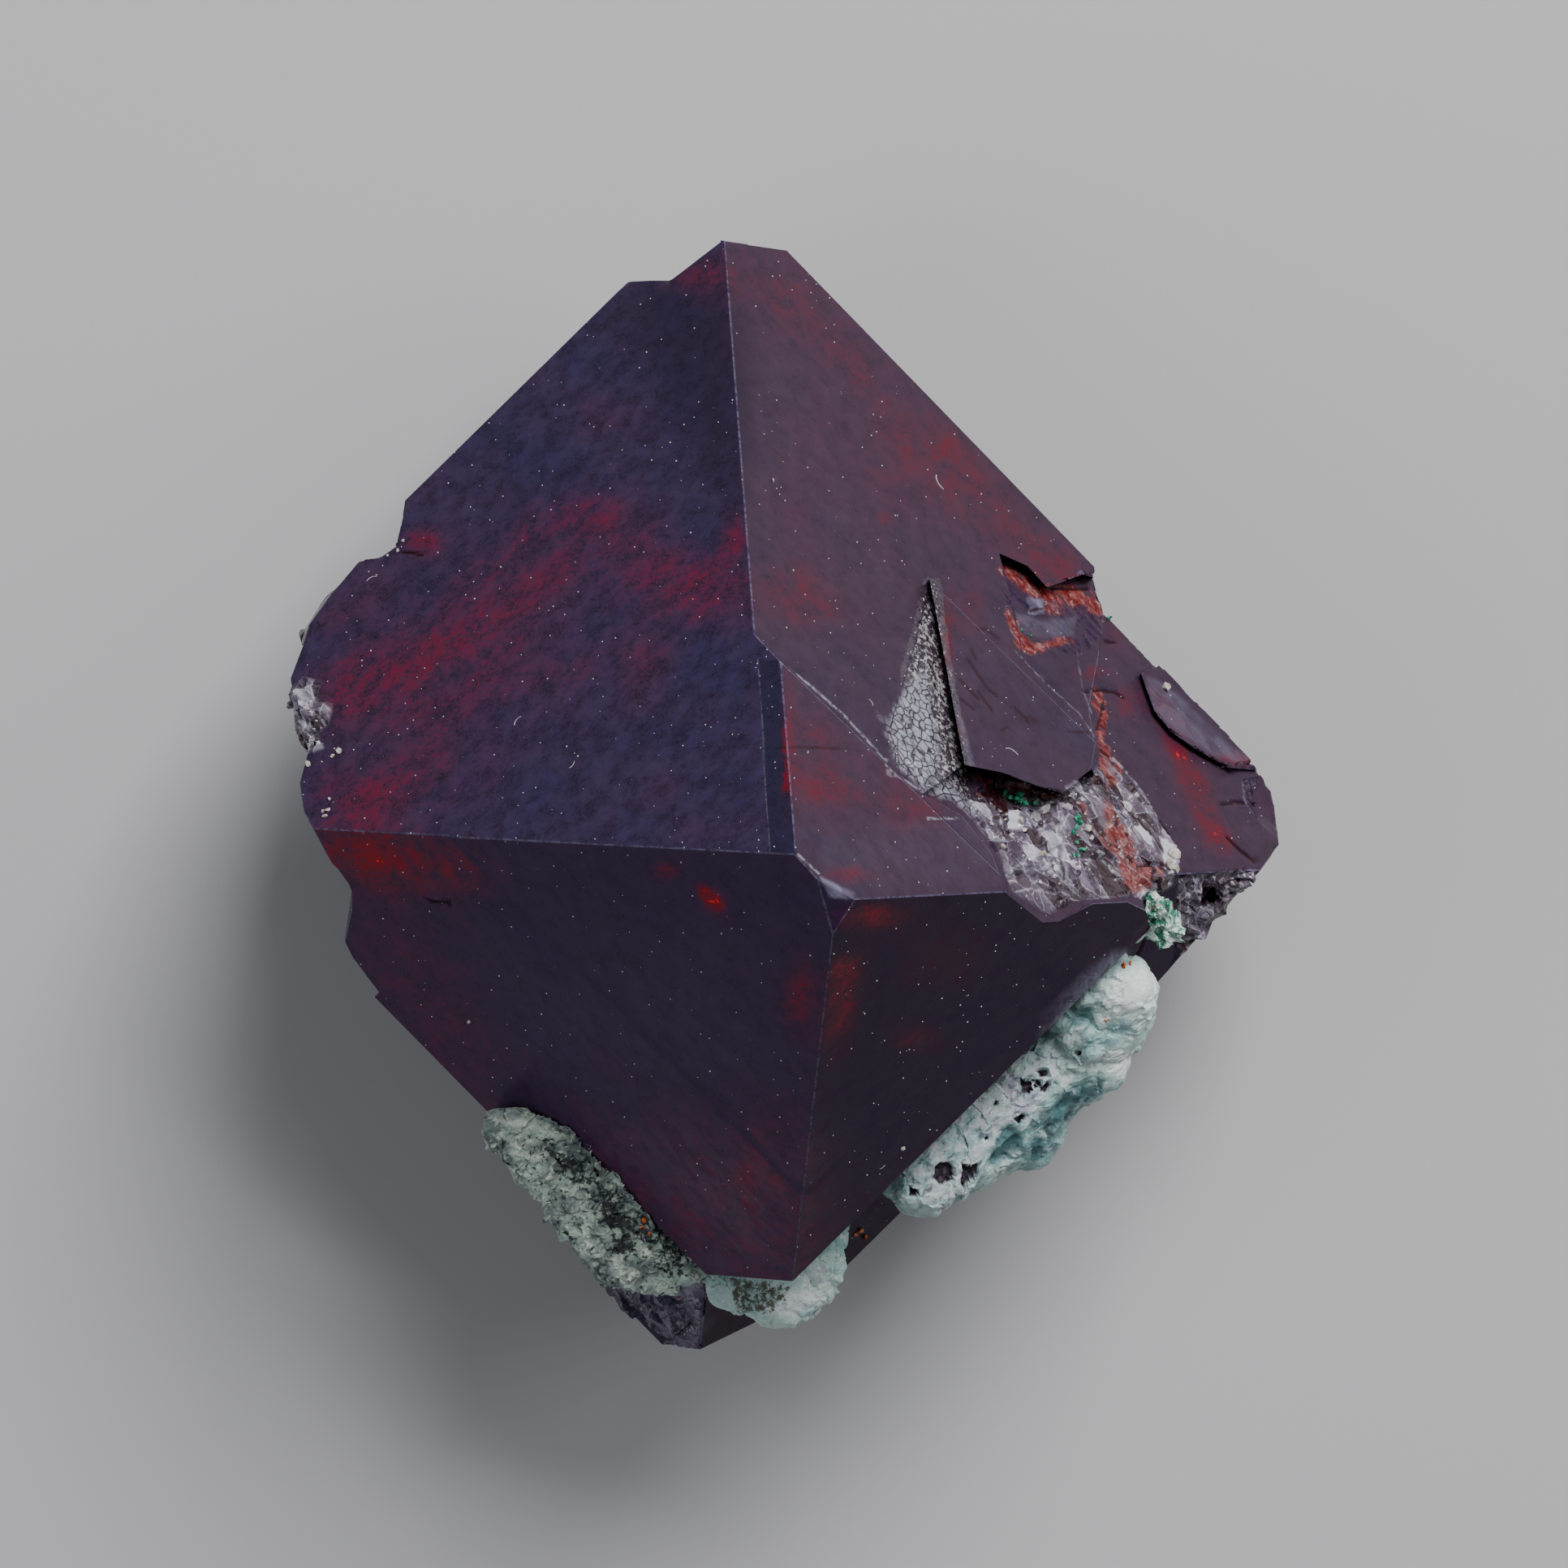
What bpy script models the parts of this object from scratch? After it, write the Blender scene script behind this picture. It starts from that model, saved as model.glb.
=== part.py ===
"""A cuprite specimen: parallel octahedra grown together, with chrysocolla crusts and malachite.

It lies on the flat contact face of its back. +Z is up, through the front corner of the large
crystal, +Y runs to the long upper tip and +X to the small crystal at the side. Sizes are in
millimetres from the front corner, and become metres when a shape is made.
"""

import math
import random

import bmesh
import bpy
from mathutils import Matrix, Vector, noise

MM = 0.001
GAP = 0.3
ROUGHNESS_SEED = 4
ROUGHNESS_SCALE = 0.55

# The rough block that each crystal is cut from, and how far outlines are drawn out each way.
ROUGH_BLOCK = 90.0
DRAWN_OUT = 16.0

# The front corner, where the three upper planes of the large crystal would meet.
FRONT_CORNER = (-2.217, -0.775, 27.0)
DEPTH = FRONT_CORNER[2]
# The line along which the broken outlines were drawn.
SIGHT = Vector((-0.0927, 0.0425, 0.9948))

# The eight octahedral directions: four faces in front, four behind.
FRONT_UPPER_LEFT = (-1, 1, 1)
FRONT_UPPER_RIGHT = (1, 1, 1)
FRONT_LOWER_LEFT = (-1, -1, 1)
FRONT_LOWER_RIGHT = (1, -1, 1)
BACK_UPPER_LEFT = (-1, 1, -1)
BACK_UPPER_RIGHT = (1, 1, -1)
BACK_LOWER_LEFT = (-1, -1, -1)
BACK_LOWER_RIGHT = (1, -1, -1)
BACK = (0, 0, -1)

# The little facet that cuts the front corner off.
CORNER_FACET = ((0.384, -0.892, 1.56), 2.17)

# Each face's reach is x + y + z, with the signs of its direction, at any point on it.
LARGE = (
    (FRONT_UPPER_LEFT, 0.0),
    (FRONT_UPPER_RIGHT, 0.0),
    (FRONT_LOWER_LEFT, 0.0),
    (FRONT_LOWER_RIGHT, 3.83),
    (BACK_UPPER_LEFT, 39.7),
    (BACK_UPPER_RIGHT, 40.25),
    (BACK_LOWER_LEFT, 32.5),
    (BACK_LOWER_RIGHT, 27.73),
    ((0.12, 1, 0), 18.25),
    CORNER_FACET,
    (BACK, DEPTH + 3.0),
)
SIDE = (
    (FRONT_UPPER_RIGHT, -1.94),
    (FRONT_LOWER_RIGHT, 0.68),
    (FRONT_UPPER_LEFT, -18.0),
    (BACK_UPPER_RIGHT, 39.98),
    (BACK_LOWER_RIGHT, 38.2),
    ((-1, -1, 0.1), -9.95),
    ((1, 0, 0), 17.9),
    ((1, -0.9, 0.1), 16.5),
    (BACK, DEPTH + 1.0),
)
REAR = (
    (FRONT_UPPER_RIGHT, -6.0),
    (FRONT_UPPER_LEFT, -16.0),
    (FRONT_LOWER_RIGHT, -3.63),
    (FRONT_LOWER_LEFT, -3.2),
    (BACK_LOWER_LEFT, 39.2),
    (BACK_LOWER_RIGHT, 41.4),
    (BACK_UPPER_RIGHT, 38.0),
    (BACK_UPPER_LEFT, 30.0),
    ((-1, -0.1, -0.15), 7.8),
    ((0.24, -1, -0.3), 22.7),
    (BACK, DEPTH + 2.0),
)
# The raised plate at the front corner, with a faint bevel and a cut corner.
CORNER_PLATE_RISE = 1.34
CORNER_PLATE = (
    (FRONT_UPPER_LEFT, 0.07),
    (FRONT_UPPER_RIGHT, CORNER_PLATE_RISE),
    (FRONT_LOWER_LEFT, 0.06),
    (FRONT_LOWER_RIGHT, 3.9),
    ((1, 1.05, 0.1), 6.0),
    ((1, 0.75, 0), 7.25),
    ((1, 0.88, 0.996), 1.29),
    CORNER_FACET,
    (BACK, 9.0),
)

# Two thinner plates, as outlines seen along SIGHT: how far each rises, and how deep its root goes.
WING_PLATE_RISE = 0.5
WING_PLATE_ROOT = 1.5
WING_PLATE = (
    (6.04, 7.84), (6.64, 2.32), (8.93, 1.64), (9.97, 1.34), (11.05, 2.0), (11.35, 2.81),
)
SIDE_TIP_PLATE_RISE = 0.45
SIDE_TIP_PLATE_ROOT = 1.0
SIDE_TIP_PLATE = (
    (13.5, 4.75), (13.85, 3.6), (14.4, 2.95), (15.2, 2.4), (16.3, 1.8), (18.2, 1.6), (18.2, 6.5),
)
# The side tip plate stops just inside the side crystal's own edges.
SIDE_TIP_TRIM = ((BACK_UPPER_RIGHT, 39.9), (BACK_LOWER_RIGHT, 38.1))

# The etched hollow beside the wing plate: its outline, and its sloping floor through one point.
ETCHED_HOLLOW = (
    (6.12, 7.8), (5.47, 6.1), (5.07, 5.2), (4.25, 3.37), (4.6, 2.5), (5.34, 1.5), (6.75, 2.2),
)
ETCHED_FLOOR = (1.16, 0.97, 1)
ETCHED_FLOOR_POINT = (4.25, 3.37, -7.62)
ETCHED_CLEARANCE = 8.0

# Where pieces have broken away, seen along SIGHT.
UPPER_SHOULDER = ((-6.0, 16.99), (-1.62, 17.03), (-0.1, 18.2), (-0.1, 21.0), (-6.0, 21.0))
UPPER_SHOULDER_LEVEL = -18.5
UPPER_SHOULDER_HALF = 12.0
LEFT_BREAK = (
    (-10.4, 10.3), (-10.5, 8.98), (-10.94, 8.45), (-11.77, 8.24), (-12.67, 7.32), (-13.33, 6.09),
    (-13.56, 4.4), (-13.3, 2.6), (-13.04, 2.3), (-13.36, 1.3), (-13.18, 0.36), (-12.66, -0.74),
    (-12.0, -1.42), (-11.64, -2.1), (-11.73, -3.56), (-11.3, -4.15), (-10.83, -5.34), (-13.0, -7.6),
    (-24.0, -7.6), (-24.0, 10.3),
)
LEFT_BREAK_LEVEL = -15.0
LEFT_BREAK_UP = 12.0
LEFT_BREAK_DOWN = 16.0
LEFT_BREAK_ROUGH = 0.5
LEFT_BREAK_RINGS = 9
SIDE_BREAK = (
    (12.0, 7.9), (12.2, 6.7), (11.9, 5.6), (11.3, 3.9), (11.4, 2.8), (11.1, 2.0), (12.3, 0.7),
    (13.1, -0.9), (12.6, -1.9), (12.7, -2.6), (13.4, -4.3), (24.0, -4.3), (24.0, 11.0), (14.0, 11.0),
)
RING_BREAK = (
    (8.6, 8.6), (9.6, 8.2), (10.2, 7.5), (11.6, 7.9), (12.6, 7.6), (13.0, 6.0), (12.4, 2.4),
    (11.35, 2.75), (9.2, 5.0), (9.0, 6.6),
)
HOLLOW_BREAK = (
    (5.2, 1.5), (6.7, 2.25), (8.0, 1.95), (9.9, 1.3), (11.1, 2.0), (12.4, 0.7), (13.6, -0.6),
    (13.2, -2.4), (11.9, -1.95), (10.7, -1.9), (9.4, -2.5), (8.9, -2.45), (7.85, -1.5), (7.35, -0.3),
    (6.5, 0.9),
)
# Breaks made before the side crystal is joined on: floor below the face, and roughness of walls.
EARLY_BREAKS = (
    ("side break", SIDE_BREAK, -2.2, 0.25),
    ("ring break", RING_BREAK, -0.8, 0.1),
)
HOLLOW_BREAK_FLOOR = -1.1
HOLLOW_BREAK_ROUGH = 0.2
# How far each cutter stands clear above the face that it cuts.
BREAK_CLEARANCE = 14.0
HOLLOW_CLEARANCE = 8.0
LAYER_CLEARANCE = 4.0
LAYER_ROUGH = 0.15

LOWER_LEFT_STEP = ((-20.0, -9.1), (14.0, -9.1), (14.0, -26.0), (-20.0, -26.0))
LOWER_LEFT_STEP_REACH = 28.85
LOWER_LEFT_STEP_OUT = 36.0
# Layers missing from the faces behind: face, its reach, depth of the layer, outline.
BACK_LAYERS = (
    (BACK_UPPER_RIGHT, 40.25, 0.7, ((-1.0, 19.0), (4.5, 13.6), (2.0, 9.0), (-6.0, 16.0))),
    (BACK_UPPER_RIGHT, 40.25, 1.3, ((0.0, 16.0), (3.2, 12.8), (1.0, 9.0), (-3.0, 14.0))),
    (BACK_UPPER_LEFT, 39.7, 0.8, ((-15.0, 3.2), (-9.6, 8.8), (-5.0, 6.0), (-9.0, -2.0))),
    (BACK_LOWER_RIGHT, 41.4, 0.9, ((5.0, -12.3), (10.5, -7.2), (9.0, -1.0), (2.0, -8.0))),
)

# A round chip out of the side crystal's edge, and a small pit in its lower face.
SIDE_CHIP_CENTRE = (18.9, 1.9, -18.9)
SIDE_CHIP_RADII = (2.6, 2.6, 2.6)
SIDE_PIT_CENTRE = (15.5, -2.1, -17.0)
SIDE_PIT_RADII = (0.42, 0.5, 0.7)

# Lumps of the crusts and of the malachite: x, y, z of the middle, and radius.
RIGHT_CRUST = (
    (12.1, -5.0, -13.7, 1.2), (11.8, -5.9, -14.6, 1.5), (11.1, -7.0, -15.6, 1.8),
    (10.0, -8.0, -16.0, 1.9), (9.0, -9.1, -16.2, 1.9), (7.9, -9.8, -16.0, 1.7),
    (6.6, -10.3, -15.2, 1.3), (6.3, -10.8, -14.9, 1.0), (11.0, -5.6, -17.2, 2.2),
    (9.2, -7.2, -17.6, 2.4), (7.2, -8.9, -17.4, 2.2),
)
BOTTOM_CRUST = (
    (0.9, -13.9, -16.6, 1.1), (2.0, -14.1, -16.8, 1.4), (3.0, -13.5, -16.6, 1.1),
    (3.3, -12.7, -16.0, 0.8), (1.8, -13.6, -18.3, 1.8), (3.0, -12.6, -17.8, 1.5),
)
LEFT_CRUST = (
    (-6.5, -9.4, -15.6, 0.75), (-5.7, -9.6, -15.3, 1.1), (-5.1, -10.0, -15.1, 1.35),
    (-4.6, -10.6, -15.2, 1.35), (-4.1, -11.1, -15.2, 1.45), (-3.6, -11.6, -15.3, 1.45),
    (-3.1, -12.1, -15.6, 1.6), (-2.6, -12.6, -16.0, 1.7), (-1.9, -12.9, -16.3, 1.4),
    (-1.1, -13.1, -16.2, 1.0), (-3.5, -11.2, -17.0, 1.6), (-4.8, -9.9, -16.4, 1.4),
)
MALACHITE = ((13.2, -2.5, -13.0, 0.9), (13.5, -3.1, -13.8, 0.9), (12.8, -2.9, -13.4, 0.8))

# Small bumps on each lump: how far out they sit and how big they are, as shares of its radius.
BUMP_SEAT = 0.92
BUMP_SIZE = (0.2, 0.36)
BUMP_RISE = (-0.5, 1.0)
MELT_VOXEL = 0.2
# Each crust: its lumps, bumps on each, material, seed and the share of its faces that is kept.
CRUSTS = (
    ("chrysocolla_right_crust", RIGHT_CRUST, 7, "chrysocolla", 3, 0.16),
    ("chrysocolla_bottom_crust", BOTTOM_CRUST, 6, "chrysocolla", 5, 0.2),
    ("chrysocolla_left_crust", LEFT_CRUST, 5, "dark chrysocolla", 8, 0.2),
    ("malachite_patch", MALACHITE, 6, "malachite", 13, 0.25),
)
# The beds that the crusts are cut back to stand off the crystals by GAP. Two of them stand off a
# little more, so that no two cutters share a plane.
ABOVE_STEP_EXTRA = 0.06
SIDE_BED_EXTRA = 0.03

# Each material's colour and roughness.
MATERIALS = {
    "cuprite": ((0.045, 0.012, 0.03, 1), 0.2),
    "chrysocolla": ((0.36, 0.56, 0.52, 1), 0.45),
    "dark chrysocolla": ((0.2, 0.3, 0.26, 1), 0.5),
    "malachite": ((0.02, 0.3, 0.16, 1), 0.4),
}


def clear_scene():
    for old in list(bpy.data.objects):
        bpy.data.objects.remove(old)


def new_collection(name):
    made = bpy.data.collections.new(name)
    bpy.context.scene.collection.children.link(made)
    return made


def material(name):
    colour, roughness = MATERIALS[name]
    made = bpy.data.materials.new(name)
    made.use_nodes = True
    shader = made.node_tree.nodes["Principled BSDF"]
    shader.inputs["Base Color"].default_value = colour
    shader.inputs["Roughness"].default_value = roughness
    return made


def new_object(name, mesh, group, helper=False):
    """Finishes a mesh drawn in millimetres from the front corner, and puts it in the scene."""
    bmesh.ops.recalc_face_normals(mesh, faces=mesh.faces)
    place = Matrix.Translation(Vector(FRONT_CORNER) * MM) @ Matrix.Scale(MM, 4)
    bmesh.ops.transform(mesh, matrix=place, verts=mesh.verts)
    data = bpy.data.meshes.new(name)
    mesh.to_mesh(data)
    mesh.free()
    made = bpy.data.objects.new(name, data)
    group.objects.link(made)
    if helper:
        made.hide_render = True
        made.display_type = "WIRE"
    return made


def cut_flat(mesh, direction, reach):
    """Removes what lies past a plane, and closes the cut with one flat face."""
    normal = Vector(direction)
    everything = mesh.verts[:] + mesh.edges[:] + mesh.faces[:]
    cut = bmesh.ops.bisect_plane(
        mesh,
        geom=everything,
        dist=1e-5,
        plane_co=normal * (reach / normal.length_squared),
        plane_no=normal,
        clear_outer=True,
    )
    rim = [item for item in cut["geom_cut"] if isinstance(item, bmesh.types.BMEdge)]
    bmesh.ops.holes_fill(mesh, edges=rim)


def crystal(name, faces, group, grown=0.0):
    """A block of rough cut down to its flat faces, each moved out by grown."""
    mesh = bmesh.new()
    bmesh.ops.create_cube(mesh, size=ROUGH_BLOCK)
    for direction, reach in faces:
        cut_flat(mesh, direction, reach + grown * Vector(direction).length)
    return new_object(name, mesh, group, helper=True)


def outline_block(outline, face, reach, up, down, rough=0.0, rings=1):
    """An outline drawn on a plane and drawn out along SIGHT, with its walls roughened."""
    mesh = bmesh.new()
    corners = []
    for x, y in outline:
        z = (reach - face[0] * x - face[1] * y) / face[2]
        corners.append(mesh.verts.new(Vector((x, y, z)) - SIGHT * down))
    cap = mesh.faces.new(corners)
    for ring in range(rings):
        made = bmesh.ops.extrude_face_region(mesh, geom=[cap])
        verts = [item for item in made["geom"] if isinstance(item, bmesh.types.BMVert)]
        bmesh.ops.translate(mesh, verts=verts, vec=SIGHT * ((up + down) / rings))
        if ring:
            bmesh.ops.delete(mesh, geom=[cap], context="FACES_ONLY")
        cap = next(item for item in made["geom"] if isinstance(item, bmesh.types.BMFace))
    for vert in mesh.verts:
        shift = noise.noise_vector(vert.co * ROUGHNESS_SCALE)
        vert.co += rough * Vector((shift.x, shift.y, 0))
    return mesh


def slab(name, outline, face, drawn_at, low, high, group, rough=0.0):
    """The part of an outline's block between two levels of a face."""
    mesh = outline_block(outline, face, drawn_at, DRAWN_OUT, DRAWN_OUT, rough)
    cut_flat(mesh, face, high)
    cut_flat(mesh, (-face[0], -face[1], -face[2]), -low)
    return new_object(name, mesh, group, helper=True)


def boolean(target, operation, tool):
    step = target.modifiers.new(f"{operation.lower()} {tool.name}", "BOOLEAN")
    step.operation = operation
    step.object = tool
    step.solver = "EXACT"


def ball(mesh, centre, radii, detail):
    shape = Matrix.Translation(centre) @ Matrix.Diagonal((*radii, 1))
    bmesh.ops.create_icosphere(mesh, subdivisions=detail, radius=1.0, matrix=shape)


def crust(name, lumps, bumps, look, seed, faces_kept, group):
    """Lumps with small bumps on them, melted together into one body."""
    dice = random.Random(seed)
    mesh = bmesh.new()
    for x, y, z, radius in lumps:
        middle = Vector((x, y, z))
        ball(mesh, middle, (radius, radius, radius), 2)
        for _ in range(bumps):
            turn = dice.uniform(0, 2 * math.pi)
            rise = dice.uniform(*BUMP_RISE)
            out = Vector((math.cos(turn), math.sin(turn), rise)).normalized()
            small = radius * dice.uniform(*BUMP_SIZE)
            ball(mesh, middle + out * radius * BUMP_SEAT, (small, small, small), 1)
    made = new_object(name, mesh, group)
    melt = made.modifiers.new("melt together", "REMESH")
    melt.mode = "VOXEL"
    melt.voxel_size = MELT_VOXEL * MM
    thin = made.modifiers.new("fewer faces", "DECIMATE")
    thin.ratio = faces_kept
    made.data.materials.append(look)
    return made


def sphere_cutter(name, centre, radii, group):
    mesh = bmesh.new()
    ball(mesh, Vector(centre), radii, 2)
    return new_object(name, mesh, group, helper=True)


def join_crystals(made, helpers):
    """Breaks the large crystal back, then grows the other crystals and the raised plates on it."""
    face = FRONT_UPPER_RIGHT
    reach = LOWER_LEFT_STEP_REACH
    step = slab(
        "lower left step",
        LOWER_LEFT_STEP,
        BACK_LOWER_LEFT,
        reach,
        reach,
        LOWER_LEFT_STEP_OUT,
        helpers,
    )
    boolean(made, "DIFFERENCE", step)
    for name, outline, floor, rough in EARLY_BREAKS:
        cutter = slab(name, outline, face, 0.0, floor, BREAK_CLEARANCE, helpers, rough)
        boolean(made, "DIFFERENCE", cutter)
    boolean(made, "UNION", crystal("side crystal", SIDE, helpers))
    boolean(made, "UNION", crystal("rear crystal", REAR, helpers))
    boolean(made, "UNION", crystal("corner plate", CORNER_PLATE, helpers))

    rise = WING_PLATE_RISE
    wing = slab("wing plate", WING_PLATE, face, rise, -WING_PLATE_ROOT, rise, helpers)
    boolean(made, "UNION", wing)

    side_top = SIDE[0][1]
    low = side_top - SIDE_TIP_PLATE_ROOT
    high = side_top + SIDE_TIP_PLATE_RISE
    tip_plate = slab("side tip plate", SIDE_TIP_PLATE, face, side_top, low, high, helpers)
    boolean(tip_plate, "INTERSECT", crystal("side crystal reach", SIDE_TIP_TRIM, helpers))
    boolean(made, "UNION", tip_plate)


def take_away(made, helpers):
    """Takes away the etched hollow, the later breaks, the layers behind and all below the rest."""
    face = FRONT_UPPER_RIGHT
    hollow = outline_block(ETCHED_HOLLOW, face, 0.0, ETCHED_CLEARANCE, ETCHED_CLEARANCE)
    low = Vector(ETCHED_FLOOR_POINT).dot(Vector(ETCHED_FLOOR))
    cut_flat(hollow, tuple(-value for value in ETCHED_FLOOR), -low)
    boolean(made, "DIFFERENCE", new_object("etched hollow", hollow, helpers, helper=True))

    broken = slab(
        "hollow break",
        HOLLOW_BREAK,
        face,
        0.0,
        HOLLOW_BREAK_FLOOR,
        HOLLOW_CLEARANCE,
        helpers,
        HOLLOW_BREAK_ROUGH,
    )
    boolean(made, "DIFFERENCE", broken)

    half = UPPER_SHOULDER_HALF
    shoulder = outline_block(UPPER_SHOULDER, (0, 0, 1), UPPER_SHOULDER_LEVEL, half, half)
    boolean(made, "DIFFERENCE", new_object("upper shoulder", shoulder, helpers, helper=True))
    left = outline_block(
        LEFT_BREAK,
        (0, 0, 1),
        LEFT_BREAK_LEVEL,
        LEFT_BREAK_UP,
        LEFT_BREAK_DOWN,
        LEFT_BREAK_ROUGH,
        LEFT_BREAK_RINGS,
    )
    boolean(made, "DIFFERENCE", new_object("left break", left, helpers, helper=True))
    chip = sphere_cutter("side chip", SIDE_CHIP_CENTRE, SIDE_CHIP_RADII, helpers)
    boolean(made, "DIFFERENCE", chip)

    for number, (behind, reach, layer, outline) in enumerate(BACK_LAYERS):
        name = f"back layer {number}"
        high = reach + LAYER_CLEARANCE
        missing = slab(name, outline, behind, reach, reach - layer, high, helpers, LAYER_ROUGH)
        boolean(made, "DIFFERENCE", missing)
    below = crystal("below the contact face", (((0, 0, 1), -DEPTH),), helpers)
    pit = sphere_cutter("side pit", SIDE_PIT_CENTRE, SIDE_PIT_RADII, helpers)
    boolean(made, "DIFFERENCE", pit)
    boolean(made, "DIFFERENCE", below)


def build_cuprite(group, helpers):
    made = crystal("cuprite_crystals", LARGE, group)
    made.hide_render = False
    made.display_type = "TEXTURED"
    made.data.materials.append(material("cuprite"))
    join_crystals(made, helpers)
    take_away(made, helpers)


def build_crusts(group, helpers):
    """The crusts and the malachite, cut back to the crystals that they grow on."""
    looks = {name: material(name) for name in MATERIALS if name != "cuprite"}
    bodies = [
        crust(name, lumps, bumps, looks[look], seed, faces_kept, group)
        for name, lumps, bumps, look, seed, faces_kept in CRUSTS
    ]
    above_step = LARGE + (((0, -1, 0), -LOWER_LEFT_STEP[0][1]),)
    below_step = LARGE + ((BACK_LOWER_LEFT, LOWER_LEFT_STEP_REACH),)
    beds = [
        crystal("bed above the step", above_step, helpers, GAP + ABOVE_STEP_EXTRA),
        crystal("bed below the step", below_step, helpers, GAP),
        crystal("side bed", SIDE, helpers, GAP + SIDE_BED_EXTRA),
        crystal("rear bed", REAR, helpers, GAP),
    ]
    for body in bodies:
        for bed in beds:
            boolean(body, "DIFFERENCE", bed)


def main():
    clear_scene()
    noise.seed_set(ROUGHNESS_SEED)
    group = new_collection("cuprite specimen")
    helpers = new_collection("cutters")
    build_cuprite(group, helpers)
    build_crusts(group, helpers)


main()
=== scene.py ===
"""A cuprite specimen with chrysocolla and malachite, lying on its flat back in studio light."""

import math

import bmesh
import bpy
import numpy as np
from mathutils import Matrix, Vector
from mathutils.bvhtree import BVHTree


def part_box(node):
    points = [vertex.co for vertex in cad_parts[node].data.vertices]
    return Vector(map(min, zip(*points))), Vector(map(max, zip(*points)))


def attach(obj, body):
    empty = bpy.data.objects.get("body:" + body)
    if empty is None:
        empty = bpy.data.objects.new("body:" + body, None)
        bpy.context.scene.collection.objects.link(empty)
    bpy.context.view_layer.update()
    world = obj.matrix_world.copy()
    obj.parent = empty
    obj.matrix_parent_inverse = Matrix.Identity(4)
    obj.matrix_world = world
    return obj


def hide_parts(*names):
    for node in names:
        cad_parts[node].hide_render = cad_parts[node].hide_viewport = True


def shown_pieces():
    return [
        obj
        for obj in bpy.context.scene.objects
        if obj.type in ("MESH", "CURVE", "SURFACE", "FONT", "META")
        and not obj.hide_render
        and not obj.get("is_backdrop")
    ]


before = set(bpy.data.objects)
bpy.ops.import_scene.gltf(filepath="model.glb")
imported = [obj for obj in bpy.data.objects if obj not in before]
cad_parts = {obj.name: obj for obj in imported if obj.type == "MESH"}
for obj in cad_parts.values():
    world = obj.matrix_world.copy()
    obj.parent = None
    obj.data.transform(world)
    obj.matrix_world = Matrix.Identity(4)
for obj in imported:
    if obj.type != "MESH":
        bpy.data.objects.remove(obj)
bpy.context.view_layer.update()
MM = 0.001

# The view. The camera looks down on the front corner of the large crystal, almost straight from
# above, from the same side as the photograph. photo_px gives where a point shows in a picture of
# 1932 by 1932 pixels, and seen_at gives the point of a piece that shows at such a pixel.
RIGHT = Vector((0.9957, 0.0114, 0.0923))
UP = Vector((-0.0074, 0.9990, -0.0433))
TOWARD = Vector((-0.0927, 0.0425, 0.9948))
EYE = Vector((-34.99, 16.44, 382.56)) * MM
LENS, SENSOR, PICTURE = 275.2, 36.0, 1932.0
FOCAL_PX = LENS / SENSOR * PICTURE
PX_MM = 0.0242

NEAR_CLIP, FAR_CLIP = 0.02, 20.0

lens = bpy.data.cameras.new("camera")
lens.lens, lens.sensor_width = LENS, SENSOR
lens.clip_start, lens.clip_end = NEAR_CLIP, FAR_CLIP
camera = bpy.data.objects.new("camera", lens)
bpy.context.collection.objects.link(camera)
camera.matrix_world = Matrix([*zip(RIGHT, UP, TOWARD, EYE), (0, 0, 0, 1)])
bpy.context.scene.camera = camera


def photo_px(points_mm):
    """Where points show in the picture, as an array of (right, down) in pixels."""
    away = np.asarray(points_mm) - np.array(EYE) / MM
    depth = -(away @ np.array(TOWARD))
    right = PICTURE / 2 + FOCAL_PX * (away @ np.array(RIGHT)) / depth
    down = PICTURE / 2 - FOCAL_PX * (away @ np.array(UP)) / depth
    return np.stack([right, down], axis=1)


def seen_at(tree, u, v):
    """The point of a surface, in mm, that shows at a pixel, and the surface's normal there."""
    ray = RIGHT * (u - PICTURE / 2) - UP * (v - PICTURE / 2) - TOWARD * FOCAL_PX
    place, normal, _, _ = tree.ray_cast(EYE / MM, ray.normalized())
    return place, normal


# The studio: a plain pale floor and three soft lamps. The strongest one is above and behind, so
# the two upper faces are lighter than the two lower ones.
FLOOR_HALF, FLOOR_DROP = 1.2, 1e-5
FLOOR_COLOUR = (0.50, 0.50, 0.52, 1)
AIM = Vector((0, 0, 0.012))
LAMPS = {
    "lamp_behind": ((0.10, 0.26, 0.30), 0.22, 2.2, (1.0, 0.985, 0.97)),
    "lamp_right": ((0.34, 0.10, 0.24), 0.20, 0.35, (1.0, 0.97, 0.95)),
    "lamp_left": ((-0.30, -0.10, 0.26), 0.24, 0.35, (0.93, 0.96, 1.0))}
SURROUND, SURROUND_STRENGTH = (0.80, 0.83, 0.88, 1), 0.16


def fill(tree, made, sockets):
    """Links a node's sockets, or gives them a value."""
    for name, value in sockets.items():
        if isinstance(value, bpy.types.NodeSocket):
            tree.links.new(value, made.inputs[name])
        else:
            made.inputs[name].default_value = value


def node(tree, kind, sockets=None, **settings):
    """One node with its settings and sockets. A kind without "Node" in it is a shader node."""
    made = tree.nodes.new(kind if "Node" in kind else "ShaderNode" + kind)
    for name, value in settings.items():
        setattr(made, name, value)
    fill(tree, made, sockets or {})
    return made


def new_finish(name):
    """A new material with a Principled shader: the material, its node tree and the shader."""
    made = bpy.data.materials.new(name)
    made.use_nodes = True
    tree = made.node_tree
    tree.nodes.clear()
    surface = node(tree, "BsdfPrincipled")
    node(tree, "OutputMaterial", {"Surface": surface.outputs["BSDF"]})
    return made, tree, surface


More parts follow.
